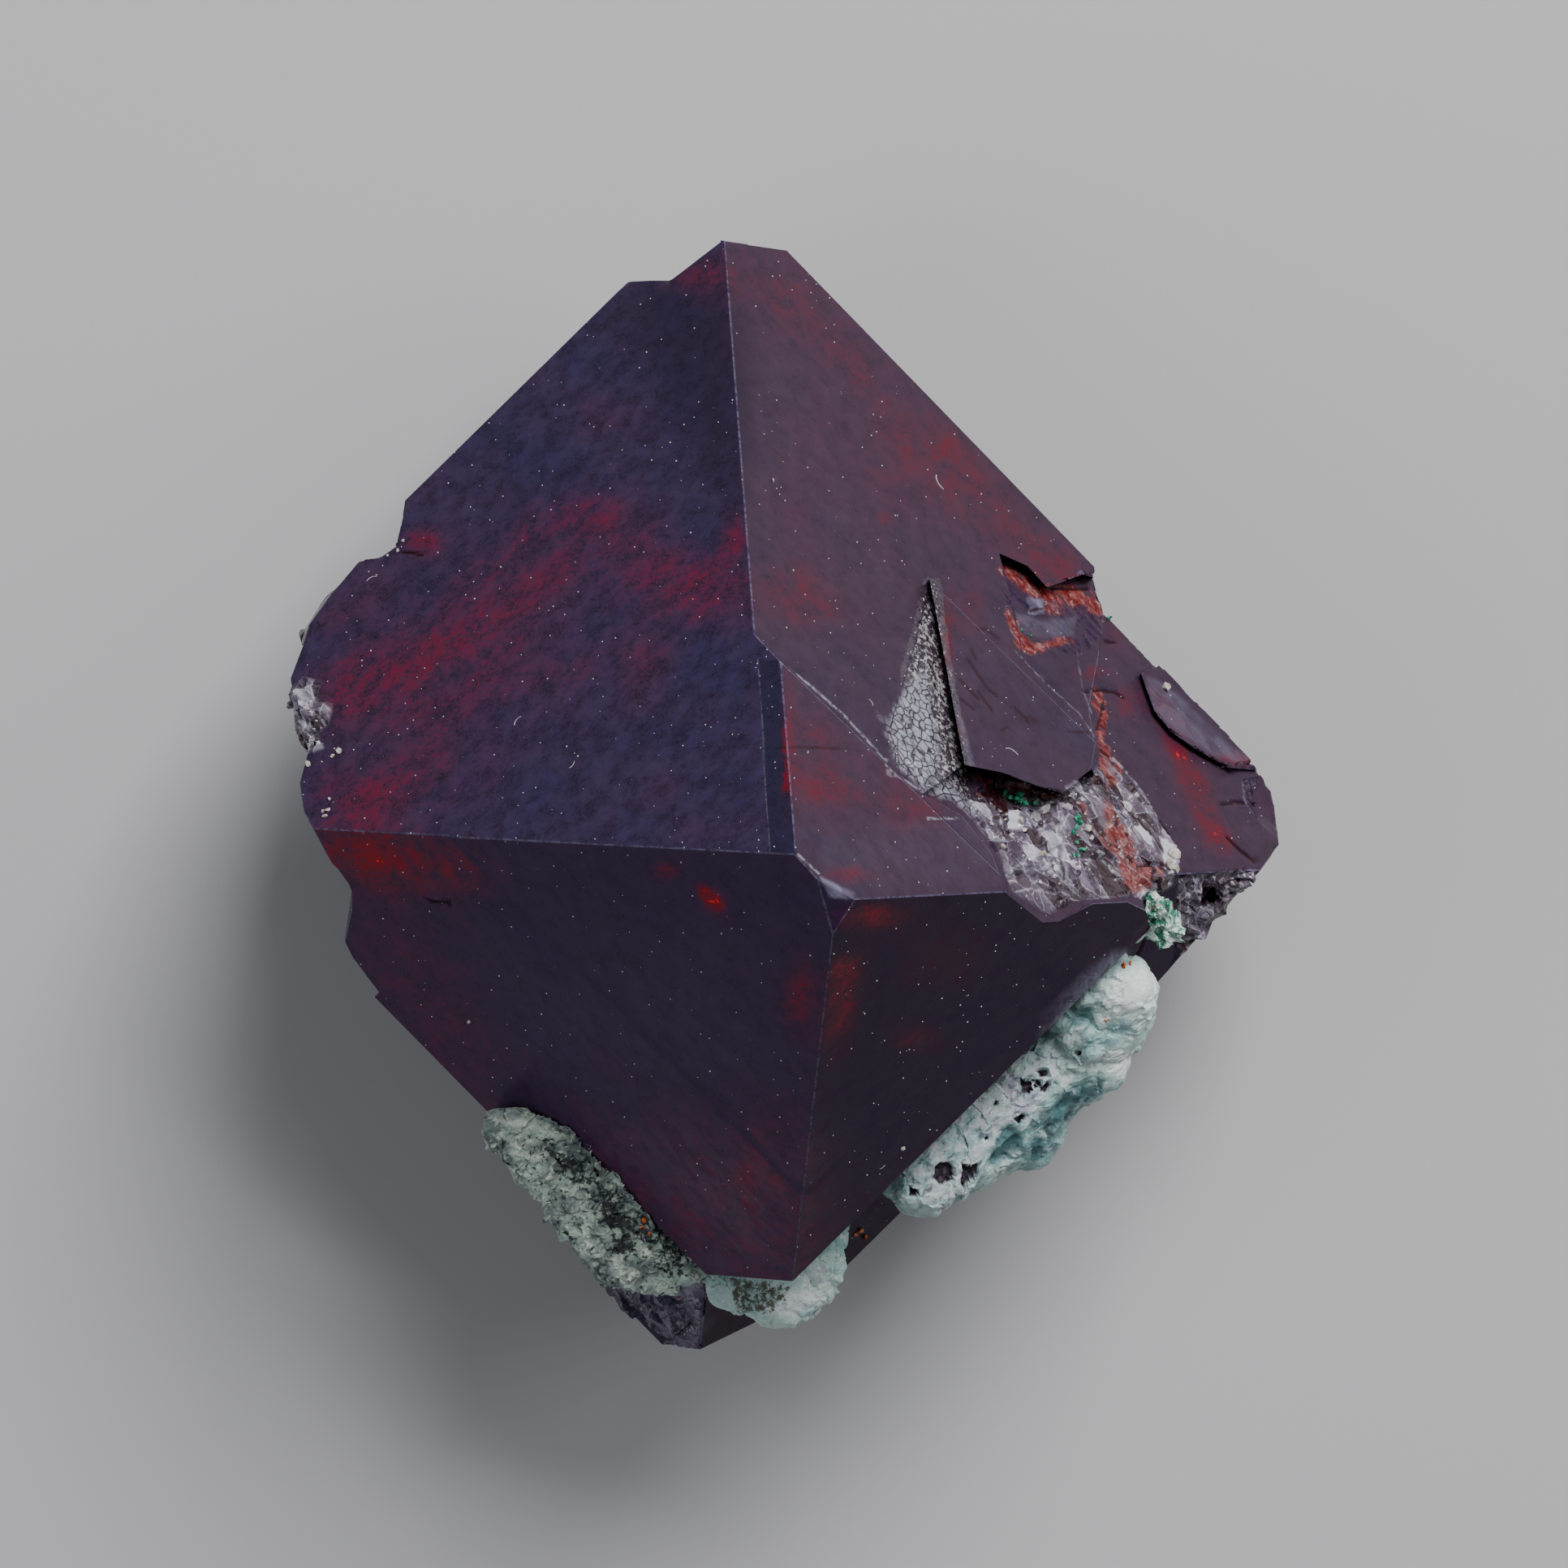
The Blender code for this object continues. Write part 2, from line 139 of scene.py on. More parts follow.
def in_mm(tree, stretch=(1, 1, 1), turn=(0, 0, 0)):
    """Object coordinates in mm, turned by radians, and the pattern drawn out along an axis."""
    return node(tree, "Mapping", {"Vector": node(tree, "TexCoord").outputs["Object"],
                                  "Scale": tuple(s * MM for s in stretch), "Rotation": turn},
                vector_type="TEXTURE").outputs["Vector"]


def cloud(tree, where, scale, detail=4.0, rough=0.5, distortion=0.0):
    """Soft noise from 0 to 1."""
    return node(tree, "TexNoise", {"Vector": where, "Scale": scale, "Detail": detail,
                                   "Roughness": rough, "Distortion": distortion}).outputs[0]


def cracks(tree, where, scale):
    """Distance to the nearest wall between cells."""
    return node(tree, "TexVoronoi", {"Vector": where, "Scale": scale},
                feature="DISTANCE_TO_EDGE").outputs["Distance"]


def ramp(tree, value, low, high, start=0.0, end=1.0):
    """value from low to high becomes start to end, held at both ends."""
    return node(tree, "MapRange", {"Value": value, "From Min": low, "From Max": high,
                                   "To Min": start, "To Max": end},
                interpolation_type="SMOOTHSTEP").outputs["Result"]


def calc(tree, operation, a, b=0.5):
    """One sum on two numbers."""
    return node(tree, "Math", {0: a, 1: b}, operation=operation).outputs[0]


def times(tree, a, b):
    """Two numbers multiplied."""
    return calc(tree, "MULTIPLY", a, b)


def plus(tree, a, b):
    """Two numbers added."""
    return calc(tree, "ADD", a, b)


def mixed(tree, factor, a, b, blend="MIX"):
    """Two colours mixed."""
    return node(tree, "Mix", {0: factor, 6: a, 7: b}, data_type="RGBA",
                blend_type=blend).outputs[2]


def bands(tree, value, stops):
    """A number turned to colours, by (place, colour) stops."""
    made = node(tree, "ValToRGB", {"Fac": value})
    ramp_stops = made.color_ramp.elements
    while len(ramp_stops) < len(stops):
        ramp_stops.new(0.5)
    for stop, (place, colour) in zip(ramp_stops, stops):
        stop.position, stop.color = place, (*colour, 1)
    return made.outputs["Color"]


def over(tree, body, colour, value, low, high, start=0.0, end=1.0):
    """A colour laid over the body: the share goes from start to end as value goes low to high."""
    return mixed(tree, ramp(tree, value, low, high, start, end), body, colour)


def drawn(tree, name):
    """A number that the mesh carries under this name."""
    return node(tree, "Attribute", attribute_name=name).outputs["Fac"]


def bump(tree, height, depth_mm, strength):
    """Fine relief for a shader's Normal socket."""
    return node(tree, "Bump", {"Height": height, "Distance": depth_mm * MM,
                               "Strength": strength}).outputs["Normal"]


floor_finish, tree, surface = new_finish("pale_floor")
fill(tree, surface, {"Base Color": FLOOR_COLOUR, "Roughness": 0.85, "Specular IOR Level": 0.1})
floor_mesh = bpy.data.meshes.new("floor")
floor_mesh.from_pydata([(x * FLOOR_HALF, y * FLOOR_HALF, -FLOOR_DROP)
                        for x, y in ((-1, -1), (1, -1), (1, 1), (-1, 1))], [], [(0, 1, 2, 3)])
floor_mesh.materials.append(floor_finish)
floor = bpy.data.objects.new("floor", floor_mesh)
bpy.context.collection.objects.link(floor)
floor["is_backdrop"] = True
for name, (place, size, power, colour) in LAMPS.items():
    light = bpy.data.lights.new(name, "AREA")
    light.size, light.energy, light.color = size, power, colour
    holder = bpy.data.objects.new(name, light)
    bpy.context.collection.objects.link(holder)
    holder.location = place
    holder.rotation_euler = (AIM - Vector(place)).to_track_quat("-Z", "Y").to_euler()
world = bpy.data.worlds.new("studio")
world.use_nodes = True
fill(world.node_tree, world.node_tree.nodes["Background"],
     {"Color": SURROUND, "Strength": SURROUND_STRENGTH})
bpy.context.scene.world = world

# The cuprite crystals: one large octahedron with two growth plates, one at its side and one
# behind, grown together. Dense red copper oxide, nearly black violet-blue where light does not
# reach its inside. Its flat faces come from the CAD; the broken places get their own relief here.

# In mm: the edges of the mesh far from any break, at a break and at a drawn line; the height up
# to which the side walls are rough; a growth step that is too low to see; and a bevelled rim,
# which carries a painted highlight.
GRID, FINE, LINE = 0.5, 0.13, 0.09
LOW_WALL, FRONT_FROM = 9.0, 4.0
HAIR_STEP_LEVEL, HAIR_STEP = 16.421, (0.01, 0.06)
MERGE, FLAT_ANGLE = 0.004, math.radians(0.4)
RIM, RIM_EDGE, RIM_ROOM, RIM_DEPTH, RIM_ANGLE = 0.035, 0.6, 0.12, 0.35, math.radians(20)
# How far a face looks to the camera: enough to be seen, and enough to carry fine marks.
SEEN, CARRIES_MARKS = 0.02, 0.3
SMALL_SPOT = 20
# Outlines of the broken places, in pixels of the picture, as all outlines and paths below.
BROKEN = {
    "white": [(1192, 985), (1232, 958), (1300, 978), (1345, 952), (1368, 935), (1394, 965),
              (1425, 1005), (1450, 1050), (1446, 1090), (1411, 1107), (1394, 1104), (1322, 1109),
              (1293, 1127), (1246, 1098), (1236, 1060), (1208, 1020)],
    "ring": [(1229, 702), (1267, 717), (1300, 728), (1348, 726), (1366, 753), (1354, 790),
             (1330, 806), (1256, 806), (1244, 757)],
    "left": [(360, 850), (374, 836), (396, 842), (390, 860), (408, 874), (404, 890), (394, 902),
             (398, 922), (380, 928), (368, 912), (362, 886)],
    "rear": [(745, 1553), (862, 1570), (868, 1600), (858, 1664), (800, 1660), (745, 1600)],
    "side": [(1452, 1082), (1546, 1072), (1536, 1135), (1520, 1152), (1474, 1180), (1452, 1176)],
}
ETCHED_CELLS = [(1129, 832), (1142, 832), (1152, 900), (1160, 958), (1206, 1008), (1172, 986),
                (1141, 976), (1108, 945), (1093, 905), (1104, 868)]
ETCHED_GRAINS = [(1144, 718), (1153, 720), (1159, 770), (1165, 810), (1177, 880), (1190, 944),
                 (1196, 985), (1176, 976), (1158, 960), (1148, 900), (1139, 836), (1120, 850),
                 (1116, 830), (1128, 784), (1137, 746)]
PLATE_SIDE = [(934, 812), (959, 814), (965, 880), (972, 964), (982, 1052), (949, 1053), (944, 975),
              (938, 880)]
# Soft oval spots: middle, half sizes across and down, turn in degrees and strength.
# Painted red glow: the red inner reflections and glints of the crystal, painted into its colour as
# soft spots.
PAINTED_RED_GLOWS = [
    (505, 825, 55, 40, -35, 0.62), (590, 765, 70, 40, -35, 0.48), (665, 690, 62, 44, -35, 0.65),
    (735, 642, 55, 34, 15, 0.65), (845, 720, 62, 40, 8, 0.95), (800, 820, 26, 30, 0, 0.55),
    (905, 665, 14, 30, 0, 0.8), (440, 860, 46, 46, 0, 0.6), (500, 975, 80, 34, -15, 0.6),
    (560, 880, 70, 34, -40, 0.5), (425, 985, 40, 30, 0, 0.75), (740, 515, 26, 20, 0, 0.3),
    (520, 740, 80, 60, -35, 0.14), (660, 800, 120, 90, -30, 0.18), (430, 760, 50, 60, 0, 0.3),
    (868, 335, 36, 22, 0, 0.7), (700, 830, 50, 22, -30, 0.35), (520, 668, 20, 14, 0, 1.2),
    (985, 735, 44, 30, 25, 0.8), (1050, 450, 110, 40, 46, 0.45), (1155, 560, 60, 34, 40, 0.85),
    (1090, 590, 80, 26, 45, 0.35), (960, 365, 60, 40, 35, 0.45), (1235, 640, 80, 34, 42, 0.5),
    (1300, 705, 50, 26, 35, 0.7), (985, 605, 30, 60, 0, 0.3), (1090, 640, 10, 8, 0, 0.8),
    (1000, 905, 26, 26, 0, 0.7), (1012, 968, 34, 36, 0, 0.9), (1100, 985, 50, 34, 20, 0.6),
    (1150, 1000, 30, 12, 0, 0.5), (972, 930, 9, 70, 0, 1.2), (1045, 1078, 26, 10, 0, 0.9),
    (1165, 800, 7, 55, 4, 1.4), (1180, 905, 7, 30, 8, 0.9), (1195, 745, 18, 40, 15, 0.5),
    (430, 1052, 55, 32, 5, 1.0), (500, 1068, 66, 32, 5, 0.85), (565, 1075, 34, 24, 0, 0.6),
    (880, 1112, 13, 9, 40, 2.6), (866, 1098, 8, 6, 40, 1.8), (822, 1075, 16, 9, 0, 0.8),
    (985, 1228, 16, 38, 0, 0.8), (1040, 1195, 20, 14, -20, 0.8), (1035, 1245, 18, 44, 12, 0.85),
    (780, 1480, 200, 110, 12, 0.30), (520, 1240, 70, 120, -35, 0.32), (930, 1480, 70, 100, 0, 0.36),
    (1070, 1130, 40, 14, 0, 0.7), (1128, 1280, 26, 14, 0, 0.5), (1150, 1180, 60, 40, 0, 0.2),
    (1460, 940, 34, 8, 50, 1.4), (1525, 936, 22, 7, 0, 1.6), (1475, 985, 16, 48, -25, 1.0),
    (1503, 1030, 13, 26, -35, 1.2), (1490, 1104, 10, 15, 0, 1.0), (1440, 880, 14, 44, -28, 0.7),
    (1390, 870, 20, 20, 0, 0.7), (1345, 830, 16, 10, 0, 0.8), (1376, 760, 16, 40, 0, 0.6),
    (1530, 1130, 14, 26, 20, 0.8)]
SALMON = [
    (1240, 706, 12, 5, 30, 0.7), (1262, 716, 22, 8, 35, 0.9), (1292, 734, 26, 10, 12, 1.1),
    (1328, 733, 24, 9, 8, 1.2), (1352, 748, 12, 9, 40, 1.0), (1300, 752, 12, 8, 20, 0.9),
    (1250, 772, 7, 22, -25, 1.0), (1262, 796, 10, 6, 40, 0.9), (1284, 797, 14, 6, -18, 0.9),
    (1310, 790, 18, 6, 4, 0.8), (1350, 862, 7, 14, 0, 1.0), (1358, 890, 6, 22, 4, 1.1),
    (1362, 935, 7, 14, 10, 0.8), (1372, 958, 9, 20, 20, 0.7), (1338, 1000, 4, 18, -28, 0.7),
    (1368, 1012, 7, 20, -10, 1.0), (1384, 1036, 12, 22, -30, 1.1), (1360, 1040, 10, 16, -35, 0.8),
    (1392, 1066, 12, 20, -38, 1.0), (1404, 1084, 18, 12, -20, 1.1), (1425, 1074, 12, 8, 30, 0.9),
    (1384, 1191, 16, 5, -10, 1.2), (1334, 806, 5, 8, -30, 0.8), (1496, 1126, 8, 6, 0, 0.4),
    (1222, 964, 30, 7, 14, 0.60), (1276, 976, 36, 6, 10, 0.58), (1205, 978, 10, 5, 30, 0.6)]
DARK_LINES = [
    [(1296, 725), (1340, 726)], [(1270, 752), (1284, 750)], [(1362, 791), (1373, 792)],
    [(1335, 853), (1357, 851), (1375, 854), (1384, 860)], [(1360, 866), (1356, 884), (1352, 900)],
    [(1356, 924), (1368, 934), (1372, 940)], [(1216, 955), (1225, 958)], [(1298, 978), (1314, 978)],
    [(1214, 952), (1240, 962), (1275, 971), (1318, 978)], [(1340, 964), (1366, 968), (1370, 974)],
    [(1368, 977), (1384, 990), (1400, 1008), (1418, 1027)],
    [(1349, 1018), (1362, 1038), (1380, 1048)],
    [(1372, 1000), (1376, 1020), (1392, 1044)], [(1384, 1056), (1402, 1064), (1420, 1064)],
    [(1415, 1051), (1428, 1060), (1438, 1066)], [(1420, 1086), (1440, 1088)],
    [(1428, 1012), (1438, 1026), (1445, 1042)], [(1505, 992), (1522, 988), (1546, 992)],
    [(1512, 1032), (1528, 1048), (1546, 1062)], [(1216, 620), (1240, 621)],
    [(531, 1111), (545, 1113), (558, 1112)], [(495, 680), (520, 684)], [(1326, 985), (1345, 1010)],
    [(1414, 1150), (1404, 1172), (1392, 1186)], [(1222, 990), (1234, 1004), (1244, 1010)]]
FAINT_LINES = [
    [(960, 922), (985, 921), (1034, 923)], [(1204, 775), (1216, 776), (1231, 788)],
    [(1192, 812), (1204, 830), (1216, 848), (1228, 858)], [(1250, 872), (1262, 884), (1275, 888)],
    [(1205, 852), (1222, 876)], [(1317, 902), (1340, 903)], [(1234, 900), (1246, 894)],
    [(1183, 838), (1196, 852), (1206, 862)], [(1184, 862), (1200, 874)], [(1196, 800), (1202, 812)],
    [(830, 369), (893, 369)], [(834, 360), (890, 360)], [(1264, 888), (1276, 894)]]
# Painted highlights: pale lines along lit edges and steps, partly pale grit on them, here and in
# the thin ones below.
PAINTED_HIGHLIGHT_LINES = [
    [(961, 816), (1003, 849), (1041, 883), (1080, 925), (1099, 952), (1141, 979)],
    [(1143, 1009), (1182, 1009)], [(1124, 940), (1134, 962), (1141, 978)],
    [(1371, 934), (1394, 958), (1412, 984), (1424, 1006)],
    [(1430, 1024), (1444, 1040), (1449, 1060), (1447, 1076)], [(1376, 1052), (1398, 1076)],
    [(1249, 1098), (1280, 1098), (1318, 1104)], [(1218, 1037), (1259, 1037)],
    [(982, 1052), (1009, 1077)],
    [(1306, 1012), (1310, 1050), (1316, 1088)], [(1343, 1056), (1336, 1076), (1321, 1093)],
    [(1346, 1048), (1366, 1066), (1380, 1080)], [(1300, 1060), (1312, 1084), (1321, 1093)]]
THIN_PAINTED_HIGHLIGHT_LINES = [
    [(934, 812), (938, 880), (944, 975), (949, 1053)], [(830, 368), (890, 370)],
    [(1250, 802), (1288, 842), (1330, 880), (1350, 910)], [(1168, 983), (1191, 1002), (1214, 1029)],
    [(1327, 806), (1334, 850), (1345, 880)], [(1283, 742), (1300, 748)]]
# Single shards of the break: an outline, a tone from 0 (dark recess) to 1 (white), how far it
# stands out in mm, and its tilt to the right and down.
SHARDS = [
    ([(1170, 948), (1214, 956), (1262, 972), (1318, 982), (1300, 992), (1262, 996), (1234, 1000),
      (1212, 990), (1192, 984)], 0.16, -0.12, 0.0, 0.1),
    ([(1192, 986), (1212, 992), (1222, 1010), (1206, 1014)], 0.85, 0.06, -0.2, 0.1),
    ([(1212, 1014), (1232, 1012), (1236, 1030), (1222, 1036)], 0.75, 0.02, 0.3, 0.0),
    ([(1230, 1020), (1266, 1022), (1262, 1038), (1236, 1036)], 0.12, -0.12, 0.1, 0.3),
    ([(1242, 1000), (1266, 998), (1280, 1014), (1262, 1022), (1246, 1018)], 0.80, 0.05, 0.2, -0.2),
    ([(1266, 992), (1304, 986), (1310, 1016), (1284, 1020)], 0.48, 0.0, 0.25, 0.2),
    ([(1280, 1020), (1308, 1018), (1306, 1040), (1286, 1040)], 0.85, 0.08, -0.3, 0.1),
    ([(1256, 1040), (1284, 1042), (1286, 1058), (1268, 1062)], 0.62, 0.05, 0.3, 0.3),
    ([(1284, 1056), (1304, 1046), (1306, 1074), (1290, 1072)], 0.80, 0.03, -0.25, 0.3),
    ([(1216, 1038), (1254, 1040), (1262, 1060), (1240, 1078), (1228, 1060)], 0.42, 0.04, 0.1, -0.3),
    ([(1240, 1078), (1284, 1066), (1308, 1084), (1296, 1098), (1250, 1098)], 0.30, -0.05, 0.2, 0.2),
    ([(1308, 1012), (1322, 1040), (1330, 1076), (1320, 1092), (1312, 1060)], 0.62, 0.10, 0.5, 0.0),
    ([(1330, 1060), (1352, 1058), (1396, 1082), (1412, 1104), (1322, 1108)],
     0.36, -0.02, 0.0, -0.1),
    ([(1366, 998), (1386, 1000), (1420, 1042), (1404, 1052), (1384, 1030)], 0.46, 0.08, -0.3, 0.3),
    ([(1310, 982), (1340, 968), (1352, 990), (1330, 1002)], 0.40, 0.0, 0.2, 0.2),
    ([(1400, 1010), (1416, 1028), (1424, 1046), (1410, 1034)], 0.72, 0.06, 0.3, -0.2),
    ([(1431, 1022), (1446, 1040), (1452, 1066), (1444, 1080), (1436, 1060)], 0.88, 0.10, 0.3, 0.0),
    ([(1466, 1112), (1490, 1122), (1476, 1150), (1462, 1140)], 0.34, 0.06, 0.3, 0.2),
    ([(1480, 1104), (1484, 1094), (1492, 1090), (1500, 1094), (1502, 1104), (1497, 1114),
      (1489, 1117), (1483, 1112)], 0.04, -0.2, 0.0, 0.0),
    ([(1504, 1120), (1526, 1112), (1532, 1136), (1512, 1146)], 0.30, 0.05, -0.3, 0.3),
    ([(752, 1572), (796, 1566), (806, 1598), (772, 1612)], 0.44, 0.10, 0.25, 0.2),
    ([(806, 1570), (842, 1576), (838, 1604), (810, 1602)], 0.56, 0.14, -0.2, 0.25),
    ([(776, 1614), (826, 1608), (838, 1638), (800, 1648)], 0.48, 0.06, 0.2, -0.2),
    ([(840, 1608), (862, 1600), (860, 1650), (842, 1640)], 0.36, 0.0, 0.3, 0.0),
    ([(842, 1572), (864, 1572), (868, 1584), (850, 1592)], 0.66, 0.05, 0.3, 0.0),
    ([(364, 852), (384, 846), (386, 872), (370, 878)], 0.60, 0.08, -0.3, 0.2),
    ([(384, 880), (404, 878), (394, 902), (380, 904)], 0.22, -0.05, 0.2, 0.2),
    ([(1460, 1088), (1480, 1086), (1482, 1108), (1464, 1108)], 0.42, 0.08, 0.3, 0.2),
    ([(1512, 1082), (1544, 1076), (1538, 1108), (1516, 1106)], 0.24, 0.05, 0.2, -0.2),
    ([(1470, 1152), (1496, 1140), (1504, 1150), (1478, 1172)], 0.52, 0.06, -0.3, 0.2)]
# Painted sheen: pale patches painted on a face for its reflections, haze and edge highlights: an
# outline, its softness in pixels, and a strength.
PAINTED_SHEENS = [
    ([(1412, 834), (1436, 842), (1519, 922), (1559, 937), (1527, 942), (1495, 930), (1465, 915),
      (1440, 895), (1420, 871)], 4, 0.30),
    ([(1265, 737), (1284, 740), (1286, 756), (1268, 757)], 1.5, 1.0),
    ([(1010, 1080), (1053, 1101), (1050, 1109), (1022, 1106)], 2, 0.9),
    ([(1096, 1462), (1121, 1437), (1118, 1474)], 1.5, 0.9),
    ([(745, 1560), (800, 1575), (862, 1580), (866, 1640), (850, 1662), (800, 1655), (750, 1610)],
     8, 0.42),
    ([(1392, 1172), (1370, 1176), (1335, 1205), (1300, 1245), (1290, 1268), (1320, 1262),
      (1350, 1235), (1385, 1200)], 9, 0.8),
    ([(1249, 756), (1290, 764), (1326, 760), (1322, 784), (1280, 786), (1256, 778)], 4, 0.28),
    ([(1116, 800), (1134, 780), (1140, 830), (1112, 850)], 10, 0.30),
    ([(1160, 750), (1168, 810), (1182, 870), (1201, 944), (1195, 944), (1174, 870), (1160, 810)],
     2, 0.4),
    ([(640, 1400), (840, 1380), (990, 1420), (968, 1560), (890, 1566), (740, 1440)], 80, 0.17),
    ([(620, 1180), (900, 1180), (960, 1330), (760, 1400), (640, 1330)], 90, 0.075),
    ([(1140, 1010), (1216, 1012), (1240, 1086), (1060, 1096), (1012, 1072), (1010, 1040)],
     12, 0.05)]
DARK_SHADES = [
    (860, 440, 60, 110, 8, 0.9), (800, 380, 60, 40, -30, 0.6), (900, 560, 30, 110, 0, 0.6),
    (960, 1450, 40, 100, 0, 0.3), (1230, 1120, 120, 30, 0, 0.4), (740, 1230, 100, 70, 30, 0.12),
    (1310, 835, 26, 30, 40, 0.5), (1230, 900, 60, 30, 20, 0.25), (620, 620, 60, 50, -40, 0.3)]
# Each break: the size of its facets in mm, their steps, their tilt, how pale it is and its tone.
BREAKS = (("white", 0.80, 0.07, 0.22, 1.0, 0.40), ("ring", 0.7, 0.03, 0.12, 0.0, 0.3),
          ("left", 0.50, 0.10, 0.35, 0.85, 0.46), ("side", 0.70, 0.10, 0.30, 0.9, 0.30),
          ("rear", 1.10, 0.10, 0.28, 0.55, 0.46))
BREAK_GRAIN = (0.62, -0.78, 0.0)
GROOVE_DEPTH = 0.05
FAINT, THIN = 0.62, 0.55
FRACTURE_SEED = 11


def to_object(name, mesh):
    """A new object at the origin for a mesh, shown in the scene."""
    made = bpy.data.objects.new(name, mesh)
    bpy.context.collection.objects.link(made)
    return made


def mesh_in_mm(source):
    """A merged bmesh copy of a CAD node, in millimetres."""
    made = bmesh.new()
    made.from_mesh(source.data)
    bmesh.ops.remove_doubles(made, verts=made.verts, dist=1e-6)
    bmesh.ops.scale(made, vec=(1 / MM,) * 3, verts=made.verts)
    return made


def to_mesh(work, name):
    """A mesh in metres from a bmesh in millimetres, which is used up."""
    bmesh.ops.scale(work, vec=(MM,) * 3, verts=work.verts)
    made = bpy.data.meshes.new(name)
    work.to_mesh(made)
    work.free()
    return made


def read(items, what, width, kind=float):
    """One property of each item of a mesh, as an array with a row for each."""
    flat = np.empty(len(items) * width, dtype=kind)
    items.foreach_get(what, flat)
    return flat.reshape(-1, width)


def mark(mesh, name, values, kind="FLOAT", domain="POINT"):
    """Stores numbers or colours on a mesh, for a material to read."""
    made = mesh.attributes.new(name, kind, domain)
    made.data.foreach_set("color" if kind == "FLOAT_COLOR" else "value",
                          np.asarray(values, dtype=np.float32).ravel())


def smooth(value, low, high):
    """0 below low, 1 above high, eased between them."""
    t = np.clip((value - low) / (high - low), 0, 1)
    return t * t * (3 - 2 * t)


def from_path(px, points):
    """Distance in pixels from each point to a drawn path."""
    best = np.full(len(px), 1e9)
    for a, b in zip(points[:-1], points[1:]):
        a, b = np.array(a, float), np.array(b, float)
        along = np.clip(((px - a) @ (b - a)) / max((b - a) @ (b - a), 1e-9), 0, 1)
        best = np.minimum(best, np.linalg.norm(px - a - along[:, None] * (b - a), axis=1))
    return best


def in_outline(px, outline):
    """Distance inside an outline in pixels, negative outside it."""
    inside = np.zeros(len(px), bool)
    for (x0, y0), (x1, y1) in zip(outline, outline[1:] + outline[:1]):
        crosses = (y0 > px[:, 1]) != (y1 > px[:, 1])
        at = x0 + (px[:, 1] - y0) * (x1 - x0) / ((y1 - y0) or 1e-9)
        inside ^= crosses & (px[:, 0] < at)
    return np.where(inside, 1, -1) * from_path(px, outline + outline[:1])


def glow(px, u, v, across, down, turn, strength):
    """A soft oval spot."""
    turn = math.radians(turn)
    x, y = px[:, 0] - u, px[:, 1] - v
    a = (x * math.cos(turn) + y * math.sin(turn)) / across
    b = (y * math.cos(turn) - x * math.sin(turn)) / down
    return strength * np.exp(-(a * a + b * b) * 0.8)


def wanted_edge(mid_mm, length):
    """How long an edge may be where its middle lies. Edges far from any break may be long."""
    limit = np.full(len(mid_mm), 1e9)
    ask = np.nonzero(length > FINE)[0]
    px = photo_px(mid_mm[ask])
    near = np.full(len(ask), 1e9)
    small_sheens = [outline for outline, soft, _ in PAINTED_SHEENS if soft < 3]
    for outline in list(BROKEN.values()) + [ETCHED_CELLS, ETCHED_GRAINS, PLATE_SIDE] + small_sheens:
        near = np.minimum(near, -in_outline(px, outline))
    for u, v, across, down, _, _ in PAINTED_RED_GLOWS + SALMON:
        if min(across, down) < SMALL_SPOT:
            reach = np.linalg.norm(px - (u, v), axis=1) - 1.6 * max(across, down)
            near = np.minimum(near, reach)
    limit[ask[near < 8]] = FINE
    ask = np.nonzero(length > LINE)[0]
    px = photo_px(mid_mm[ask])
    near = np.full(len(ask), 1e9)
    for path in DARK_LINES + FAINT_LINES + PAINTED_HIGHLIGHT_LINES + THIN_PAINTED_HIGHLIGHT_LINES:
        near = np.minimum(near, from_path(px, path))
    limit[ask[near < 4]] = LINE
    return limit


def refined(work, limit_of, rounds):
    """Halves the edges that are longer than they may be, round by round."""
    for _ in range(rounds):
        work.verts.index_update()
        work.normal_update()
        edges = [e for e in work.edges
                 if max(f.normal.dot(TOWARD) for f in e.link_faces) > SEEN]
        co = np.array([v.co for v in work.verts])
        ends = np.array([(e.verts[0].index, e.verts[1].index) for e in edges])
        a, b = co[ends[:, 0]], co[ends[:, 1]]
        length = np.linalg.norm(a - b, axis=1)
        too_long = np.nonzero(length > limit_of((a + b) / 2, length))[0]
        if not len(too_long):
            break
        bmesh.ops.subdivide_edges(work, edges=[edges[i] for i in too_long], cuts=1)
        bmesh.ops.triangulate(work, faces=[f for f in work.faces if len(f.verts) > 3])


crystals = mesh_in_mm(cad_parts["cuprite_crystals"])
# A growth step too low to see on the upper left face would leave a hairline, so it is closed.
for vert in crystals.verts:
    above = vert.co.dot(Vector((-1, 1, 1)) / math.sqrt(3)) - HAIR_STEP_LEVEL
    if HAIR_STEP[0] < above < HAIR_STEP[1]:
        vert.co += Vector((1, -1, 0)) * above * math.sqrt(3) / 2
bmesh.ops.remove_doubles(crystals, verts=crystals.verts, dist=MERGE)
bmesh.ops.dissolve_limit(crystals, angle_limit=FLAT_ANGLE, verts=crystals.verts,
                         edges=crystals.edges)
whole_crystals = BVHTree.FromBMesh(crystals)


def stands_clear(edge):
    """True for a long convex edge with room at both ends and beside it for a bevelled rim."""
    if len(edge.link_faces) != 2 or not edge.is_convex or edge.calc_length() < RIM_EDGE:
        return False
    if edge.calc_face_angle(0) < RIM_ANGLE:
        return False
    if min(f.calc_area() for f in edge.link_faces) < RIM_DEPTH * edge.calc_length():
        return False
    for corner in edge.verts:
        along = (edge.other_vert(corner).co - corner.co).normalized()
        for other in corner.link_edges:
            if other is edge:
                continue
            beside = (other.other_vert(corner).co - corner.co).normalized()
            if along.dot(beside) > 0.9 or other.calc_length() < RIM_ROOM:
                return False
    return True


